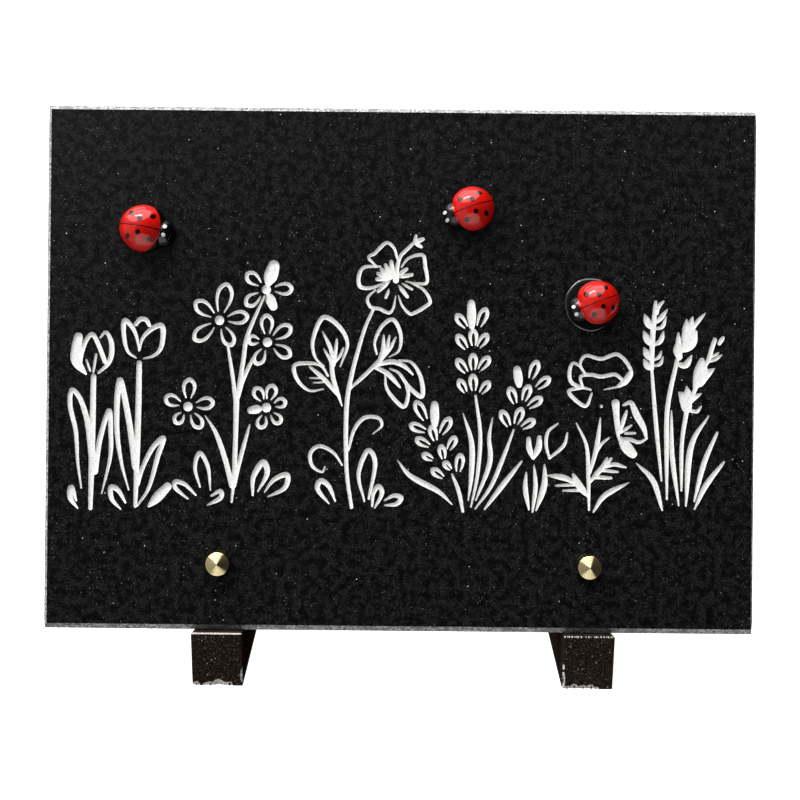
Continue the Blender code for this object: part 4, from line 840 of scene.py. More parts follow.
def lavenders(drawing):
    """Three spikes of lavender that share one tuft of grass."""
    # The open florets, from foot to tip: of the tall spike, the left one and the right one
    florets = (
        ((25.8, 120.6), (21.6, 125.8)), ((30.9, 121.0), (33.8, 128.4)),
        ((28.9, 113.4), (28.5, 120.1)), ((25.9, 112.2), (22.0, 117.7)), ((30.9, 112.8), (34.5, 118.2)),
        ((28.8, 103.8), (28.6, 110.4)), ((26.0, 102.8), (22.0, 108.1)), ((31.3, 103.8), (35.3, 109.2)),
        ((29.1, 95.6), (28.6, 102.2)), ((25.8, 95.0), (22.9, 100.1)), ((31.9, 94.6), (35.4, 99.4)),
        ((10.0, 84.0), (6.0, 91.4)), ((10.0, 79.4), (3.6, 82.0)), ((14.1, 75.8), (12.2, 81.8)),
        ((16.4, 78.4), (20.1, 85.0)), ((11.6, 73.6), (6.0, 76.5)), ((19.4, 72.2), (22.2, 77.6)),
        ((17.4, 68.6), (16.2, 74.2)), ((13.0, 68.2), (8.7, 70.4)), ((23.3, 63.6), (24.2, 70.8)),
        ((20.2, 64.4), (17.2, 67.5)), ((17.2, 61.2), (12.4, 64.6)),
        ((51.6, 100.6), (54.2, 107.8)), ((54.0, 96.8), (59.3, 101.2)), ((45.4, 90.8), (43.0, 97.2)),
        ((48.9, 91.8), (51.1, 98.2)), ((50.8, 89.2), (56.3, 93.2)), ((43.0, 81.8), (39.8, 88.0)),
        ((45.9, 82.6), (48.2, 89.2)), ((48.4, 81.0), (53.5, 84.4)),
    )
    for foot, tip in florets:
        length = (Vector(tip) - Vector(foot)).length
        drawing.loop(foot, tip, length * FLORET_WIDTH_SHARE + WIDTH_MORE, FINE_LINE, 0.55)
    # The filled crests
    crests = (((28.1, 120.8), (27.7, 131.6)), ((13.8, 81.6), (13.6, 91.4)), ((47.0, 97.8), (45.9, 105.6)))
    for foot, tip in crests:
        drawing.petal(foot, tip, 4.1, 0.55)
    # The stems and the grass
    drawing.strokes((
        ((1.0, 1.6, 0.7), (29.8, 93.4), (31.8, 78.0), (30.8, 62.0), (28.4, 49.6)),
        ((0.9, 1.6, 1.1), (20.8, 62.4), (23.4, 56.0), (25.2, 47.8)),
        ((0.8, 1.7, 0.7), (45.0, 80.2), (41.2, 69.8), (36.2, 57.8), (30.1, 48.9)),
        ((0.4, 2.2, 0.5), (24.9, 86.6), (28.4, 75.0), (28.4, 62.0), (27.3, 52.2)),
        ((0.5, 2.0, 0.6), (36.6, 84.8), (35.3, 77.0), (35.6, 67.0), (30.3, 52.2)),
        ((0.7, 2.1, 0.8), (48.3, 67.8), (40.6, 58.0), (33.8, 48.8)),
        ((0.4, 2.3, 0.5), (-0.8, 67.7), (4.4, 61.6), (15.4, 55.6), (20.9, 50.5)),
    ))


def buds(drawing):
    """Two closed buds among three blades of grass."""
    drawing.strokes((
        ((1.7, 2.3, 0.7), (50.9, 76.8), (51.2, 73.0), (52.6, 68.8)),
        ((1.7, 2.6, 0.7), (55.1, 77.4), (54.9, 73.4), (52.9, 68.8)),
        ((0.7, 1.4, 1.0), (62.4, 82.8), (58.6, 79.6), (57.8, 74.6), (59.2, 69.1)),
        ((0.7, 1.4, 1.0), (66.2, 79.2), (64.8, 74.2), (59.2, 69.1)),
        ((0.6, 2.0, 0.6), (50.1, 63.4), (49.8, 57.0), (51.3, 48.7)),
        ((0.6, 1.8, 0.7), (53.1, 66.3), (53.8, 58.0), (52.7, 47.8)),
        ((0.7, 2.5, 0.6), (57.3, 66.5), (57.2, 58.4), (54.1, 48.4)),
    ))


def poppy(drawing):
    """An open poppy seen from below, with its bud, feathered leaves and one blade of grass."""
    drawing.strokes((
        # The flower
        ((1.0, 1.5, 0.6), (73.2, 102.3), (71.0, 106.2), (73.2, 109.7), (79.2, 108.5), (86.0, 110.2),
         (91.2, 103.6), (88.4, 98.6), (80.6, 96.3)),
        ((1.4, 2.6, 1.0), (90.4, 103.0), (88.9, 99.8), (86.0, 97.9)),
        ((1.0, 1.5, 1.4), (71.9, 97.8), (71.2, 101.4), (75.4, 102.2), (79.4, 101.5), (84.6, 102.4),
         (87.4, 100.6)),
        ((0.9, 1.6, 0.7), (71.2, 105.4), (68.2, 106.7), (66.8, 103.4), (68.0, 98.8), (75.4, 96.2)),
        ((1.1, 1.6, 0.8), (72.2, 97.1), (66.6, 95.6), (70.2, 91.4), (73.6, 90.0), (75.7, 94.8)),
        # The stem, its twigs and the blade of grass
        ((0.6, 1.6, 0.9), (69.7, 83.1), (73.8, 74.0), (74.6, 62.0), (75.0, 48.8)),
        ((1.1, 1.9, 0.6), (75.2, 63.4), (77.8, 73.8), (79.2, 85.2)),
        ((1.4, 1.2, 0.7), (77.6, 71.6), (79.8, 75.0), (82.7, 77.4)),
        ((0.7, 2.2, 0.4), (76.7, 48.0), (81.2, 54.6), (90.7, 59.8)),
        # The ribs and the barbs of the two feathered leaves
        ((1.2, 2.1, 1.1), (75.2, 59.8), (78.8, 64.2), (83.6, 69.2)),
        ((1.4, 1.3, 0.8), (79.8, 65.6), (82.0, 69.4)),
        ((1.2, 1.7, 0.7), (80.2, 65.6), (84.8, 66.9), (89.5, 65.7)),
        ((1.4, 1.3, 0.9), (79.8, 64.6), (86.2, 63.9)),
        ((1.6, 1.5, 1.0), (77.4, 61.8), (83.7, 61.5)),
        ((1.0, 2.9, 1.2), (74.7, 54.1), (71.2, 58.2), (68.6, 62.8)),
        ((1.4, 2.3, 0.6), (69.6, 59.5), (64.5, 61.6), (58.5, 62.3)),
        ((1.4, 1.2, 0.7), (70.0, 58.8), (61.7, 58.3)),
        ((1.2, 1.1, 0.8), (71.0, 56.5), (64.6, 56.4)),
    ))
    drawing.dot((79.5, 89.8), 1.3)


def butterfly(drawing):
    """A butterfly with folded wings beside the poppy."""
    drawing.strokes((
        ((1.2, 2.3, 3.2), (86.4, 77.6), (85.7, 84.0), (85.1, 91.2)),
        ((0.9, 2.7, 0.9), (88.1, 90.3), (91.2, 91.2), (93.4, 86.6), (96.2, 81.6), (97.5, 77.2)),
        ((0.9, 1.5, 1.5), (97.5, 77.2), (94.4, 75.7), (90.8, 76.8), (86.8, 76.8)),
        ((1.2, 1.7, 1.0), (86.8, 79.6), (89.5, 88.0)),
        ((1.2, 1.2, 0.8), (87.3, 79.6), (91.5, 82.4)),
        ((1.1, 1.1, 0.8), (89.0, 79.2), (93.0, 79.3)),
        ((2.0, 4.4, 3.4), (87.2, 77.0), (90.4, 72.8), (92.2, 71.0)),
    ))


def wheat(drawing):
    """Three ears of wheat and their long blades."""
    drawing.strokes((
        # The left ear: its axis, the grains on its left and those on its right
        ((1.6, 2.1, 1.3), (99.3, 104.8), (99.4, 115.0), (100.2, 127.0), (100.6, 131.2)),
        ((1.8, 2.7, 0.6), (99.4, 105.0), (97.7, 105.8), (96.2, 108.4)),
        ((2.0, 3.0, 0.6), (99.4, 108.6), (97.7, 110.2), (96.1, 113.0)),
        ((2.0, 2.8, 0.5), (99.4, 114.4), (97.7, 115.9), (95.9, 119.6)),
        ((2.0, 2.8, 0.5), (99.6, 121.0), (97.8, 122.5), (96.2, 126.3)),
        ((0.8, 1.4, 0.5), (99.9, 105.8), (102.6, 106.8), (103.7, 109.6)),
        ((0.8, 1.4, 0.5), (99.9, 108.2), (102.0, 109.4), (103.0, 111.8)),
        ((1.2, 2.0, 0.5), (99.9, 114.2), (102.6, 115.8), (103.8, 119.6)),
        ((1.0, 1.6, 0.5), (100.1, 120.6), (103.2, 121.4), (104.8, 125.4)),
        ((1.0, 2.0, 0.5), (99.9, 122.6), (102.4, 124.6), (105.2, 128.2)),
        ((1.6, 1.6, 0.5), (101.0, 126.8), (101.8, 129.4), (103.9, 131.7)),
        # The middle ear
        ((1.4, 2.6, 0.5), (109.2, 106.8), (112.6, 106.4), (115.0, 110.2)),
        ((1.8, 2.2, 0.5), (110.2, 109.0), (108.9, 111.4), (108.5, 114.4)),
        ((1.6, 2.4, 0.5), (110.6, 109.4), (109.8, 114.0), (109.7, 119.2)),
        ((2.6, 5.4, 2.2), (111.0, 112.4), (113.6, 114.6), (116.2, 119.4)),
        ((2.8, 2.4, 0.6), (112.2, 116.4), (112.4, 120.4), (112.9, 124.3)),
        ((2.8, 2.6, 0.6), (113.8, 118.0), (114.2, 121.6), (115.3, 125.4)),
        ((2.2, 1.7, 0.4), (114.8, 120.4), (117.4, 123.8), (120.3, 127.0)),
        # The right ear, from its three lower grains to its tip
        ((4.2, 4.6, 0.6), (113.2, 89.6), (112.4, 93.2), (110.0, 95.6)),
        ((3.0, 3.4, 0.8), (113.2, 90.0), (113.6, 94.4), (113.1, 97.8)),
        ((1.6, 1.4, 0.6), (114.0, 88.6), (117.2, 88.1), (119.0, 90.2)),
        ((2.6, 1.9, 0.6), (114.2, 92.0), (116.6, 93.8), (118.8, 95.2)),
        ((1.4, 1.6, 2.0), (114.4, 92.6), (116.2, 96.2), (117.4, 99.6)),
        ((2.4, 5.6, 2.2), (116.7, 98.0), (118.5, 102.6), (119.0, 108.4)),
        ((2.2, 2.0, 0.6), (118.0, 99.2), (117.0, 101.8), (116.3, 104.6)),
        ((2.6, 3.2, 0.5), (118.4, 99.0), (120.8, 102.6), (124.0, 105.1)),
        ((1.4, 1.8, 1.7), (119.6, 105.0), (121.6, 108.4), (122.8, 112.6), (124.1, 116.6)),
        ((1.0, 1.4, 0.5), (121.2, 107.8), (124.4, 108.8), (126.9, 110.6)),
        ((1.0, 1.2, 0.5), (122.6, 109.8), (124.2, 110.4), (125.7, 111.4)),
        ((1.6, 1.8, 1.2), (125.8, 115.0), (127.4, 117.4)),
        # The stems and the blades
        ((1.2, 1.7, 0.7), (99.3, 104.4), (100.8, 86.5), (103.5, 60.6)),
        ((1.6, 1.9, 0.8), (109.2, 108.2), (105.7, 90.0), (105.4, 73.0), (105.7, 53.4)),
        ((1.8, 1.6, 0.8), (113.2, 88.4), (111.4, 75.0), (111.4, 56.8)),
        ((0.5, 2.2, 0.7), (93.5, 67.5), (100.3, 60.4), (103.9, 49.0)),
        ((0.5, 2.0, 0.6), (107.2, 88.4), (107.6, 71.0), (110.4, 50.9)),
        ((0.6, 2.4, 0.7), (121.9, 86.4), (115.0, 74.0), (113.2, 50.7)),
        ((1.0, 2.1, 0.7), (125.3, 79.8), (120.2, 67.6), (116.5, 52.6)),
        ((0.9, 2.2, 0.6), (128.1, 68.2), (121.2, 59.2), (116.6, 49.5)),
    ))


def flower_row():
    """The whole drawing."""
    drawing = Drawing()
    for draw in (tulips, daisies, hibiscus, lavenders, buds, poppy, butterfly, wheat):
        draw(drawing)
    return drawing


def joined_outlines(drawing):
    """The outlines of the strokes, joined where they cross, as closed loops of points."""
    places, _, faces, _, _, sources = delaunay_2d_cdt(drawing.corners, [], drawing.pieces, 1, CLOSE)
    sides = {}
    for face, source in zip(faces, sources):
        if source:
            for before, after in zip(face, face[1:] + face[:1]):
                sides[before, after] = True
    following = {}
    for before, after in sides:
        if (after, before) not in sides:
            following.setdefault(before, []).append(after)
    loops = []
    for start in sorted(following, key=lambda index: tuple(places[index])):
        while following[start]:
            loop = [start]
            at = following[start].pop()
            while at != start:
                loop.append(at)
                at = following[at].pop()
            loops.append([places[index] for index in loop])
    return loops


def loop_area(loop):
    """The area inside a closed loop of points."""
    return abs(sum(a.x * b.y - b.x * a.y for a, b in zip(loop, loop[1:] + loop[:1]))) / 2.0


def thin_loop(loop):
    """A closed loop with fewer points, which starts at a corner."""
    furthest = max(range(len(loop)), key=lambda index: (loop[index] - loop[0]).length)
    there = thin_out(loop[:furthest + 1], OUTLINE_TOLERANCE)
    back = thin_out(loop[furthest:] + loop[:1], OUTLINE_TOLERANCE)
    return there[:-1] + back[:-1]


def part_touching(loops):
    """Draw back the corners at which outlines touch, so that no two of them share a point."""
    meetings = {}
    for loop in loops:
        for index, place in enumerate(loop):
            meetings.setdefault((round(place.x, 3), round(place.y, 3)), []).append((loop, index))
    for corners in meetings.values():
        if len(corners) > 1:
            for loop, index in corners:
                beside = (loop[index - 1] + loop[(index + 1) % len(loop)]) / 2.0
                loop[index] = loop[index].lerp(beside, DRAW_BACK)


def triangles(rings, kinds):
    """Triangles between flat rings: their points, their corners, for each one the sum of the kinds of ring
    that hold it, and for each ring the points that it became.
    """
    points, sides, side_kinds, outlines = [], [], [], []
    for ring, kind in zip(rings, kinds):
        outline = range(len(points), len(points) + len(ring))
        points += ring
        sides += [(number, outline[(place + 1) % len(outline)]) for place, number in enumerate(outline)]
        side_kinds += [kind] * len(ring)
        outlines.append(outline)
    places, edges, faces, given, given_sides, _ = delaunay_2d_cdt(points, sides, [], 0, CLOSE)
    crossing = {}
    for edge, numbers in zip(edges, given_sides):
        held = 0
        for number in numbers:
            held ^= side_kinds[number]
        crossing[frozenset(edge)] = held
    beside = {}
    for number, face in enumerate(faces):
        for before, after in zip(face, face[1:] + face[:1]):
            beside.setdefault(frozenset((before, after)), []).append(number)
    # Walk in from the outer edge, and change what holds a triangle at each outline that is crossed
    waiting = [(around[0], crossing[side]) for side, around in beside.items() if len(around) == 1]
    held_by = {}
    while waiting:
        number, held = waiting.pop()
        if number in held_by:
            continue
        held_by[number] = held
        face = faces[number]
        for before, after in zip(face, face[1:] + face[:1]):
            side = frozenset((before, after))
            waiting += [(other, held ^ crossing[side]) for other in beside[side] if other not in held_by]
    became = {number: index for index, numbers in enumerate(given) for number in numbers}
    kept = [[became[number] for number in outline] for outline in outlines]
    return places, faces, [held_by[number] for number in range(len(faces))], kept


# Plaque

def ragged(loop):
    """A stroke's outline with the slightly uneven edge that sandblasting leaves."""
    moved = []
    for place in loop:
        sway = noise.noise_vector(Vector((place.x, place.y, 0.0)) / STROKE_RAG_SIZE)
        moved.append(place + Vector((sway.x, sway.y)) * STROKE_RAGGEDNESS)
    return moved


def face_rim():
    """The polished face's own edge, a rectangle whose arris is a little uneven, and the chamfer's foot."""
    half = PLAQUE_WIDTH / 2.0
    left, right = CHAMFER_LEFT - half, half - CHAMFER_RIGHT
    bottom, top = CHAMFER_BOTTOM, PLAQUE_HEIGHT - CHAMFER_TOP
    inner_corners = [(left, bottom), (right, bottom), (right, top), (left, top)]
    outer_corners = [(-half, 0.0), (half, 0.0), (half, PLAQUE_HEIGHT), (-half, PLAQUE_HEIGHT)]
    depths = [CHAMFER_BOTTOM, CHAMFER_RIGHT, CHAMFER_BOTTOM, CHAMFER_LEFT]
    inner, outer = [], []
    for side in range(4):
        following = (side + 1) % 4
        start, end = Vector(inner_corners[side]), Vector(inner_corners[following])
        outer_start, outer_end = Vector(outer_corners[side]), Vector(outer_corners[following])
        across = Vector((-(end - start).y, (end - start).x)).normalized()
        count = max(2, round((end - start).length / ARRIS_STEP))
        for step in range(count):
            share = step / count
            place = start.lerp(end, share)
            sway = noise.noise(Vector((place.x, place.y, 3.0 * side)) * ARRIS_SHORT_WAVES)
            sway += LONG_WAVE_SHARE * noise.noise(Vector((place.x, place.y, 9.0 + side)) * ARRIS_LONG_WAVES)
            hold = min(1.0, ARRIS_START * share, ARRIS_START * (1.0 - share))
            inner.append(place + across * sway * ARRIS_ROUGHNESS * hold)
            # Near a corner, the chamfer takes the deeper of its two sides' depths
            nearer = depths[side - 1] if share < 0.5 else depths[following]
            blend = max(0.0, 1.0 - CHAMFER_START * min(share, 1.0 - share))
            depth = depths[side] + (max(depths[side], nearer) - depths[side]) * blend
            outer.append((outer_start.lerp(outer_end, share), depth))
    return inner, outer


def drawn_outlines():
    """The flowers' outlines on the face, in metres."""
    noise.seed_set(STROKE_RAG_SEED)
    loops = [ragged(loop) for loop in joined_outlines(flower_row()) if loop_area(loop) > SMALLEST_AREA]
    loops = [thin_loop(loop) for loop in loops]
    loops = [loop for loop in loops if len(loop) > 2]
    part_touching(loops)
    scale = Vector((PLAQUE_WIDTH / DRAWING_WIDTH, PLAQUE_HEIGHT / DRAWING_HEIGHT))
    return [[Vector((place.x * scale.x, place.y * scale.y)) for place in loop] for loop in loops]


def filled(rings, kinds):
    """Triangles between rings that are given in metres."""
    scaled = [[place * MILLIMETRES for place in ring] for ring in rings]
    places, faces, held_by, kept = triangles(scaled, kinds)
    return [place / MILLIMETRES for place in places], faces, held_by, kept


def band(bm, first, second, finish):
    """Quads between two rings of as many corners."""
    for index in range(len(first)):
        following = (index + 1) % len(first)
        face = bm.faces.new((first[index], first[following], second[following], second[index]))
        face.material_index = finish


def make_plaque():
    """The slab: the polished face with the flowers cut in, the sawn chamfer, sides, back and holes."""
    polished, painted, sawn, honed = range(4)
    inner, outer = face_rim()
    hole_radius = SCREW_SHANK_DIAMETER / 2.0 + HOLE_PLAY
    holes = [ring_points(hole_radius, HOLE_SIDES, (x, SCREW_RISE)) for x in screw_places().values()]
    strokes = drawn_outlines()
    kinds = [IN_FACE] + [IN_HOLE] * len(holes) + [IN_STROKE] * len(strokes)
    places, faces, held_by, kept_rings = filled([inner] + holes + strokes, kinds)
    bm = bmesh.new()
    raised = {}
    sunk = {}

    def corner(index, depth, kept):
        if index not in kept:
            kept[index] = bm.verts.new((places[index].x, depth, places[index].y))
        return kept[index]

    bare_sides = set()
    cut_faces = []
    for face, held in zip(faces, held_by):
        if held == IN_FACE | IN_STROKE:
            made = bm.faces.new([corner(index, ENGRAVING_DEPTH, sunk) for index in face])
            made.material_index = painted
            cut_faces.append(face)
        elif held == IN_FACE:
            bm.faces.new([corner(index, 0.0, raised) for index in face]).material_index = polished
            bare_sides.update(zip(face, face[1:] + face[:1]))
    # The strokes' walls
    for face in cut_faces:
        for before, after in zip(face, face[1:] + face[:1]):
            if (after, before) in bare_sides:
                wall = bm.faces.new((raised[before], raised[after], sunk[after], sunk[before]))
                wall.material_index = painted

    # The chamfer, the sides and the back
    front_rim, *front_holes = [[raised[index] for index in ring] for ring in kept_rings[:1 + len(holes)]]
    chamfer_foot = [bm.verts.new((place.x, depth, place.y)) for place, depth in outer]
    band(bm, front_rim, chamfer_foot, sawn)
    side_foot = [bm.verts.new((place.x, PLAQUE_THICKNESS - BACK_CHAMFER, place.y)) for place, _ in outer]
    band(bm, chamfer_foot, side_foot, honed)
    shrink = Vector((1.0 - 2.0 * BACK_CHAMFER / PLAQUE_WIDTH, 1.0 - 2.0 * BACK_CHAMFER / PLAQUE_HEIGHT))
    middle = PLAQUE_HEIGHT / 2.0
    back_ring = [Vector((p.x * shrink.x, middle + (p.y - middle) * shrink.y)) for p, _ in outer]
    back_places, back_faces, held_by, back_rings = filled([back_ring] + holes, kinds[:1 + len(holes)])
    back = [bm.verts.new((place.x, PLAQUE_THICKNESS, place.y)) for place in back_places]
    for face, held in zip(back_faces, held_by):
        if held == IN_FACE:
            bm.faces.new([back[index] for index in face]).material_index = honed
    back_rim, *back_holes = [[back[index] for index in ring] for ring in back_rings]
    band(bm, side_foot, back_rim, honed)
    for front_hole, back_hole in zip(front_holes, back_holes):
        band(bm, front_hole, back_hole, honed)
    finishes = [polished_granite(), engraving_paint(), sawn_granite(), honed_granite()]
    return mesh_piece("plaque_stone", bm, "plaque", finishes, plaque_frame())


# Feet

def shell(across, up, depth):
    """The depth of a shell-shaped break at a place, given as shares of its half width and height."""
    sway = noise.noise(Vector((across * CHIP_WAVES, up * CHIP_WAVES, depth * CHIP_OWN_NOISE)))
    reach = across * across + up * up + CHIP_RAGGEDNESS * sway
    if not 0.0 < reach < 1.0:
        return 0.0
    ripple = 1.0 - RIPPLE_DEPTH + RIPPLE_DEPTH * math.sin(RIPPLES * reach)
    return depth * (1.0 - reach) ** CHIP_STEEPNESS * ripple


def front_break(side, share, z):
    """How deep the foot's front is broken away at a share of its width and a height."""
    deepest = 0.0
    for place, half_length, height, depth in FOOT_CHIPS[side]:
        deepest = max(deepest, shell((share - place) / half_length, z / height, depth))
    from_inner = 1.0 - share if side == "left" else share
    for middle, half_height, width, depth in SIDE_CHIPS[side]:
        across = from_inner * FOOT_WIDTH / width
        deepest = max(deepest, shell(across, (z - middle) / half_height, depth))
    return deepest


def foot_outline(side, share):
    """The foot seen from the side: front with its breaks, sloping ledge, seat, top and back."""
    behind = Vector((math.cos(PLAQUE_LEAN), -math.sin(PLAQUE_LEAN)))
    above = Vector((math.sin(PLAQUE_LEAN), math.cos(PLAQUE_LEAN)))
    front = Vector((-covered_depth() / 2.0, FOOT_FRONT_HEIGHT))
    notch = front + behind * (FOOT_LEDGE + PLAQUE_THICKNESS + GAP)
    seat_top = notch + above * FOOT_SEAT_HEIGHT
    back = front.x + FOOT_DEPTH
    top_back = Vector((min(seat_top.x + FOOT_TOP_DEPTH, back), seat_top.y))
    outline = []
    for step in range(FRONT_ROWS):
        z = (front.y - FOOT_BEVEL) * (step / FRONT_ROWS) ** FRONT_ROW_GROWTH
        outline.append((front.x + front_break(side, share, z), z))
    outline += rounded(front, (front.x, 0.0), notch, FOOT_BEVEL, BEVEL_STEPS)
    outline.append(notch)
    corners = [notch, seat_top, top_back, (back, FOOT_BACK_HEIGHT), (back, 0.0), (front.x, 0.0)]
    for before, corner, after in zip(corners, corners[1:], corners[2:]):
        outline += rounded(corner, before, after, FOOT_BEVEL, BEVEL_STEPS)
    return [Vector(place) for place in outline]


def set_in(outline, distance):
    """An outline moved inwards, by its corners' own slants, and held inside its own front and bottom."""
    front = min(place.x for place in outline)
    moved = []
    for index, place in enumerate(outline):
        before = (place - outline[index - 1]).normalized()
        after = (outline[(index + 1) % len(outline)] - place).normalized()
        inwards = Vector((before.y + after.y, -before.x - after.x)).normalized()
        inside = place + inwards * distance
        moved.append(Vector((max(inside.x, front), max(inside.y, 0.0))))
    return moved


def make_foot(side, x, stone_breaks_and_highlight):
    """A foot with fine arrises, a painted highlight along the ledge's front arris, and chips along the
    ground.
    """
    soft = FOOT_BEVEL * SOFT_SHARE
    slices = [(0.0, FOOT_BEVEL), (soft, soft)]
    slices += [(FOOT_BEVEL + (FOOT_WIDTH - 2.0 * FOOT_BEVEL) * step / FOOT_SLICES, 0.0)
               for step in range(FOOT_SLICES + 1)]
    slices += [(FOOT_WIDTH - soft, soft), (FOOT_WIDTH, FOOT_BEVEL)]
    bm = bmesh.new()
    rows = []
    for across, inset in slices:
        outline = foot_outline(side, across / FOOT_WIDTH)
        if inset:
            outline = set_in(outline, inset)
        rows.append([bm.verts.new((x - FOOT_WIDTH / 2.0 + across, y, z)) for y, z in outline])
    for (across, _), row, following in zip(slices, rows, rows[1:]):
        share = across / FOOT_WIDTH
        # The ledge's rounded front arris is painted pale as a highlight: along the whole left foot, in broken
        # dots on the right one
        ledge_highlight = side == "left" or noise.noise(Vector((share * LEDGE_HIGHLIGHT_WAVES, 0.0, 0.0))) > LEDGE_HIGHLIGHT_LEVEL
        for index in range(len(row)):
            beyond = (index + 1) % len(row)
            face = bm.faces.new((row[index], row[beyond], following[beyond], following[index]))
            if index < FRONT_ROWS:
                pale = front_break(side, share, row[index].co.z) > FRESH_DEPTH
            else:
                pale = ledge_highlight and index < FRONT_ROWS + BEVEL_STEPS
            face.material_index = int(pale)
    for row in (rows[0], rows[-1]):
        bm.faces.new(row)
    return mesh_piece(f"foot_{side}_stone", bm, f"foot_{side}", stone_breaks_and_highlight,
                      smooth_below=28.0)


# Screws

def make_screw(side, x, brass):
    """A turned brass head with a shallow cone, a small lip and fine rings, and its plain shank."""
    head = SCREW_HEAD_DIAMETER / 2.0
    shank = SCREW_SHANK_DIAMETER / 2.0
    end = -PLAQUE_THICKNESS - SCREW_HOLD
    rim = GAP + SCREW_RIM_HEIGHT
    tip = rim + SCREW_CONE_HEIGHT
    face = head * SCREW_FACE_SHARE
    profile = [(0.0, end), (shank * SHANK_END_SHARE, end), (shank, end + shank * SHANK_END_LENGTH)]
    profile.append((shank, GAP))
    profile += rounded((head, GAP), (shank, GAP), (face, rim), SCREW_FOOT_ROUNDING)
    profile += rounded((face, rim), (head, GAP), (0.0, tip), SCREW_FACE_ROUNDING)
    profile += [(face * share, tip - SCREW_CONE_HEIGHT * share) for share in SCREW_RINGS]
    profile.append((0.0, tip - SCREW_CONE_HEIGHT * SCREW_TIP_SHARE))
    bm = turned(profile, SCREW_SIDES)
    place = on_face(x, SCREW_RISE)
    return mesh_piece(f"brass_screw_{side}_turned", bm, f"brass_screw_{side}", [brass], place, 25.0)


# Ladybirds

def dome(length, width, height, ahead, sides):
    """The upper half of a stretched ball, flat below, its length along X, as a bmesh."""
    bm = bmesh.new()
    bmesh.ops.create_uvsphere(bm, u_segments=sides, v_segments=sides // 2, radius=1.0)
    bm.transform(Matrix.Rotation(math.radians(90.0), 4, "Y"))
    cut = bmesh.ops.bisect_plane(bm, geom=bm.verts[:] + bm.edges[:] + bm.faces[:], dist=CUT_CLOSE,
                                 plane_co=(0.0, 0.0, 0.0), plane_no=(0.0, 0.0, 1.0), clear_inner=True)
    rim = [item for item in cut["geom_cut"] if isinstance(item, bmesh.types.BMEdge)]
    bmesh.ops.contextual_create(bm, geom=rim)
    stretch = Matrix.Diagonal((length / 2.0, width / 2.0, height, 1.0))
    bm.transform(Matrix.Translation((ahead, 0.0, 0.0)) @ stretch)
    return bm


def make_ladybird(name):
    """A glazed ladybird: a domed body with a groove between its wing cases, and a lower round head."""
    share_x, share_z, size, turn = LADYBIRDS[name]
    height = size * LADYBIRD_HEIGHT_SHARE
    body = new_object("body", dome(size, size * LADYBIRD_WIDTH_SHARE, height, 0.0, BODY_SIDES))
    bm = bmesh.new()
    bmesh.ops.create_circle(bm, segments=GROOVE_SIDES, radius=WING_GROOVE_SHARE)
    bm.transform(Matrix.Translation((1.0, 0.0, 0.0)))
    bmesh.ops.spin(bm, geom=bm.verts[:] + bm.edges[:], cent=(0.0, 0.0, 0.0), axis=(0.0, 1.0, 0.0),
                   angle=2.0 * math.pi, steps=BODY_SIDES, use_merge=True)
    bm.transform(Matrix.Diagonal((size / 2.0, size / 2.0, height, 1.0)))
    body = new_object("body", combined(body, new_object("groove", bm), "DIFFERENCE"))
    head = new_object("head", dome(size * HEAD_LENGTH_SHARE, size * HEAD_WIDTH_SHARE,
                                   size * HEAD_HEIGHT_SHARE, size * HEAD_PLACE_SHARE, HEAD_SIDES))
    bm = combined(body, head, "UNION")
    lift = GLUE_PAD_THICKNESS if name == "ladybird_right" else 0.0
    place = on_face(share_x * PLAQUE_WIDTH, share_z * PLAQUE_HEIGHT, turn)
    place = place @ Matrix.Translation((0.0, 0.0, lift + GAP))
    return mesh_piece(f"{name}_glazed", bm, name, [ladybird_glaze(name)], place, 35.0)


def make_glue_pad():
    """The round pad of glue under the right ladybird, with a soft rim."""
    share_x, share_z, size, _ = LADYBIRDS["ladybird_right"]
    radius = size / 2.0 + GLUE_PAD_GROWTH
    top = GLUE_PAD_THICKNESS
    profile = [(0.0, GAP), (radius, GAP)]
    profile += rounded((radius, top), (radius, GAP), (0.0, top), GLUE_PAD_ROUNDING, GLUE_PAD_STEPS,
                       GLUE_PAD_FALL)
    profile.append((0.0, top))
    bm = turned(profile, GLUE_PAD_SIDES)
    for corner in bm.verts:
        turn = math.atan2(corner.co.y, corner.co.x)
        sway = 1.0
        for count, start, rise in GLUE_PAD_WAVES:
            sway += rise * math.sin(count * turn + start)
        corner.co.x *= sway * GLUE_PAD_SHRINK
        corner.co.y *= sway * GLUE_PAD_SHRINK
    place = on_face(share_x * PLAQUE_WIDTH + GLUE_PAD_SHIFT[0], share_z * PLAQUE_HEIGHT + GLUE_PAD_SHIFT[1])
    return mesh_piece("glue_pad_soft", bm, "glue_pad", [dark_glue()], place, 40.0)


# Stage, light and camera

def make_stage():
    """A plain pale floor that curves up into a backdrop, and that neither lights nor mirrors in the part."""
    straight = STAGE_FAR - STAGE_BEND
    profile = [(STAGE_NEAR, 0.0), (straight, 0.0)]
    for step in range(1, STAGE_BEND_STEPS + 1):
        turn = math.pi / 2.0 * step / STAGE_BEND_STEPS
        profile.append((straight + STAGE_BEND * math.sin(turn), STAGE_BEND - STAGE_BEND * math.cos(turn)))
    profile.append((STAGE_FAR, STAGE_TOP))
    bm = bmesh.new()
    sides = (-STAGE_HALF_WIDTH, STAGE_HALF_WIDTH)
    rows = [[bm.verts.new((x, y, z)) for x in sides] for y, z in profile]
    for lower, upper in zip(rows, rows[1:]):
        bm.faces.new((lower[0], lower[1], upper[1], upper[0]))
    floor = new_object("floor", bm, closed=False)
    floor.data.shade_smooth()
    paper = Surface("pale_paper", 0.9, Base_Color=(0.60, 0.60, 0.60, 1.0), Specular_IOR_Level=0.1,
                    Emission_Color=(1.0, 1.0, 1.0, 1.0), Emission_Strength=0.95)
    floor.data.materials.append(paper.made)
    floor.visible_diffuse = False
    floor.visible_glossy = False


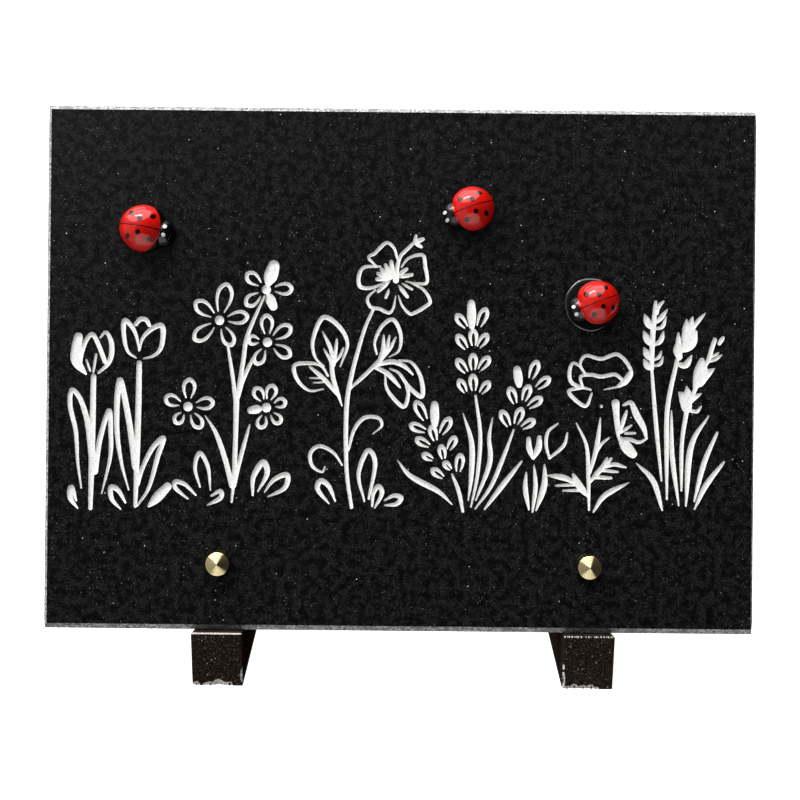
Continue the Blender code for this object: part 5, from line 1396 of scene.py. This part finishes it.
def make_window():
    """A long soft light to the upper left, with its long side across the plaque."""
    window = bpy.data.lights.new("window", "AREA")
    window.shape = "RECTANGLE"
    window.size, window.size_y = WINDOW_SIZE
    window.energy = WINDOW_POWER
    light = bpy.data.objects.new("window", window)
    light.location = WINDOW_PLACE
    back = (Vector(WINDOW_PLACE) - Vector(WINDOW_AIM)).normalized()
    across = (Vector((1.0, 0.0, 0.0)) - back * back.x).normalized()
    light.rotation_mode = "QUATERNION"
    light.rotation_quaternion = Matrix((across, back.cross(across), back)).transposed().to_quaternion()
    bpy.context.scene.collection.objects.link(light)


def towards(tree, way):
    """How much the world's direction looks along a way, as a cosine."""
    looking = new_node(tree, "TexCoord", {}).outputs["Generated"]
    facing = {0: looking, 1: Vector(way).normalized()}
    return new_node(tree, "VectorMath", facing, operation="DOT_PRODUCT").outputs["Value"]


def patch(tree, outside, way, edge, full, inside):
    """A round patch of the room with its own brightness, given by the angles at which it ends and is full."""
    edge, full = math.cos(math.radians(edge)), math.cos(math.radians(full))
    return graded(tree, towards(tree, way), edge, full, outside, inside)


def make_room():
    """A bright ceiling, a paler ground in front, and a room that is dark in front and to the right.

    The camera sees it as white, from every side.
    """
    world = bpy.data.worlds.new("room")
    bpy.context.scene.world = world
    world.use_nodes = True
    tree = world.node_tree
    room = graded(tree, towards(tree, (-1.0, 0.0, 0.0)), -ROOM_REACH, ROOM_REACH, *ROOM_BRIGHTNESS)
    front = patch(tree, 1.0, *DARK_FRONT)
    added = new_node(tree, "Math", {0: patch(tree, 0.0, *CEILING), 1: patch(tree, 0.0, *GROUND)})
    lit = new_node(tree, "Math", {0: room, 1: front, 2: added.outputs[0]}, operation="MULTIPLY_ADD")
    seen = new_node(tree, "LightPath", {}).outputs["Is Camera Ray"]
    strength = new_node(tree, "Math", {0: lit.outputs[0], 1: seen}, operation="ADD")
    put(tree, strength.outputs[0], tree.nodes["Background"].inputs["Strength"])
    put(tree, (1.0, 1.0, 1.0), tree.nodes["Background"].inputs["Color"])
    bpy.context.scene.view_settings.view_transform = "Standard"


def make_camera():
    """The photo's view: straight at the leaned face, with a slight roll."""
    data = bpy.data.cameras.new("camera")
    data.lens = CAMERA_LENS
    data.sensor_width = CAMERA_SENSOR
    data.clip_start, data.clip_end = CAMERA_CLIP
    camera = bpy.data.objects.new("camera", data)
    aim = plaque_frame() @ Vector((CAMERA_AIM[0], 0.0, CAMERA_AIM[1]))
    back = Vector((0.0, -math.cos(CAMERA_ELEVATION), math.sin(CAMERA_ELEVATION)))
    camera.location = aim + back * CAMERA_DISTANCE
    look = (-back).to_track_quat("-Z", "Y").to_matrix().to_4x4()
    camera.rotation_mode = "QUATERNION"
    camera.rotation_quaternion = (look @ Matrix.Rotation(CAMERA_ROLL, 4, "Z")).to_quaternion()
    bpy.context.scene.collection.objects.link(camera)
    bpy.context.scene.camera = camera


def build():
    """Make every piece, the stage, the lights and the camera."""
    make_plaque()
    # The feet's stone, and the pale stone of their breaks and of the painted highlight on their ledge arris
    stone_breaks_and_highlight = [foot_granite(), chipped_and_highlit_granite()]
    brass = turned_brass()
    for side, x in screw_places().items():
        make_foot(side, x, stone_breaks_and_highlight)
        make_screw(side, x, brass)
    for name in LADYBIRDS:
        make_ladybird(name)
    make_glue_pad()
    make_stage()
    make_window()
    make_room()
    make_camera()


build()
bpy.context.view_layer.update()
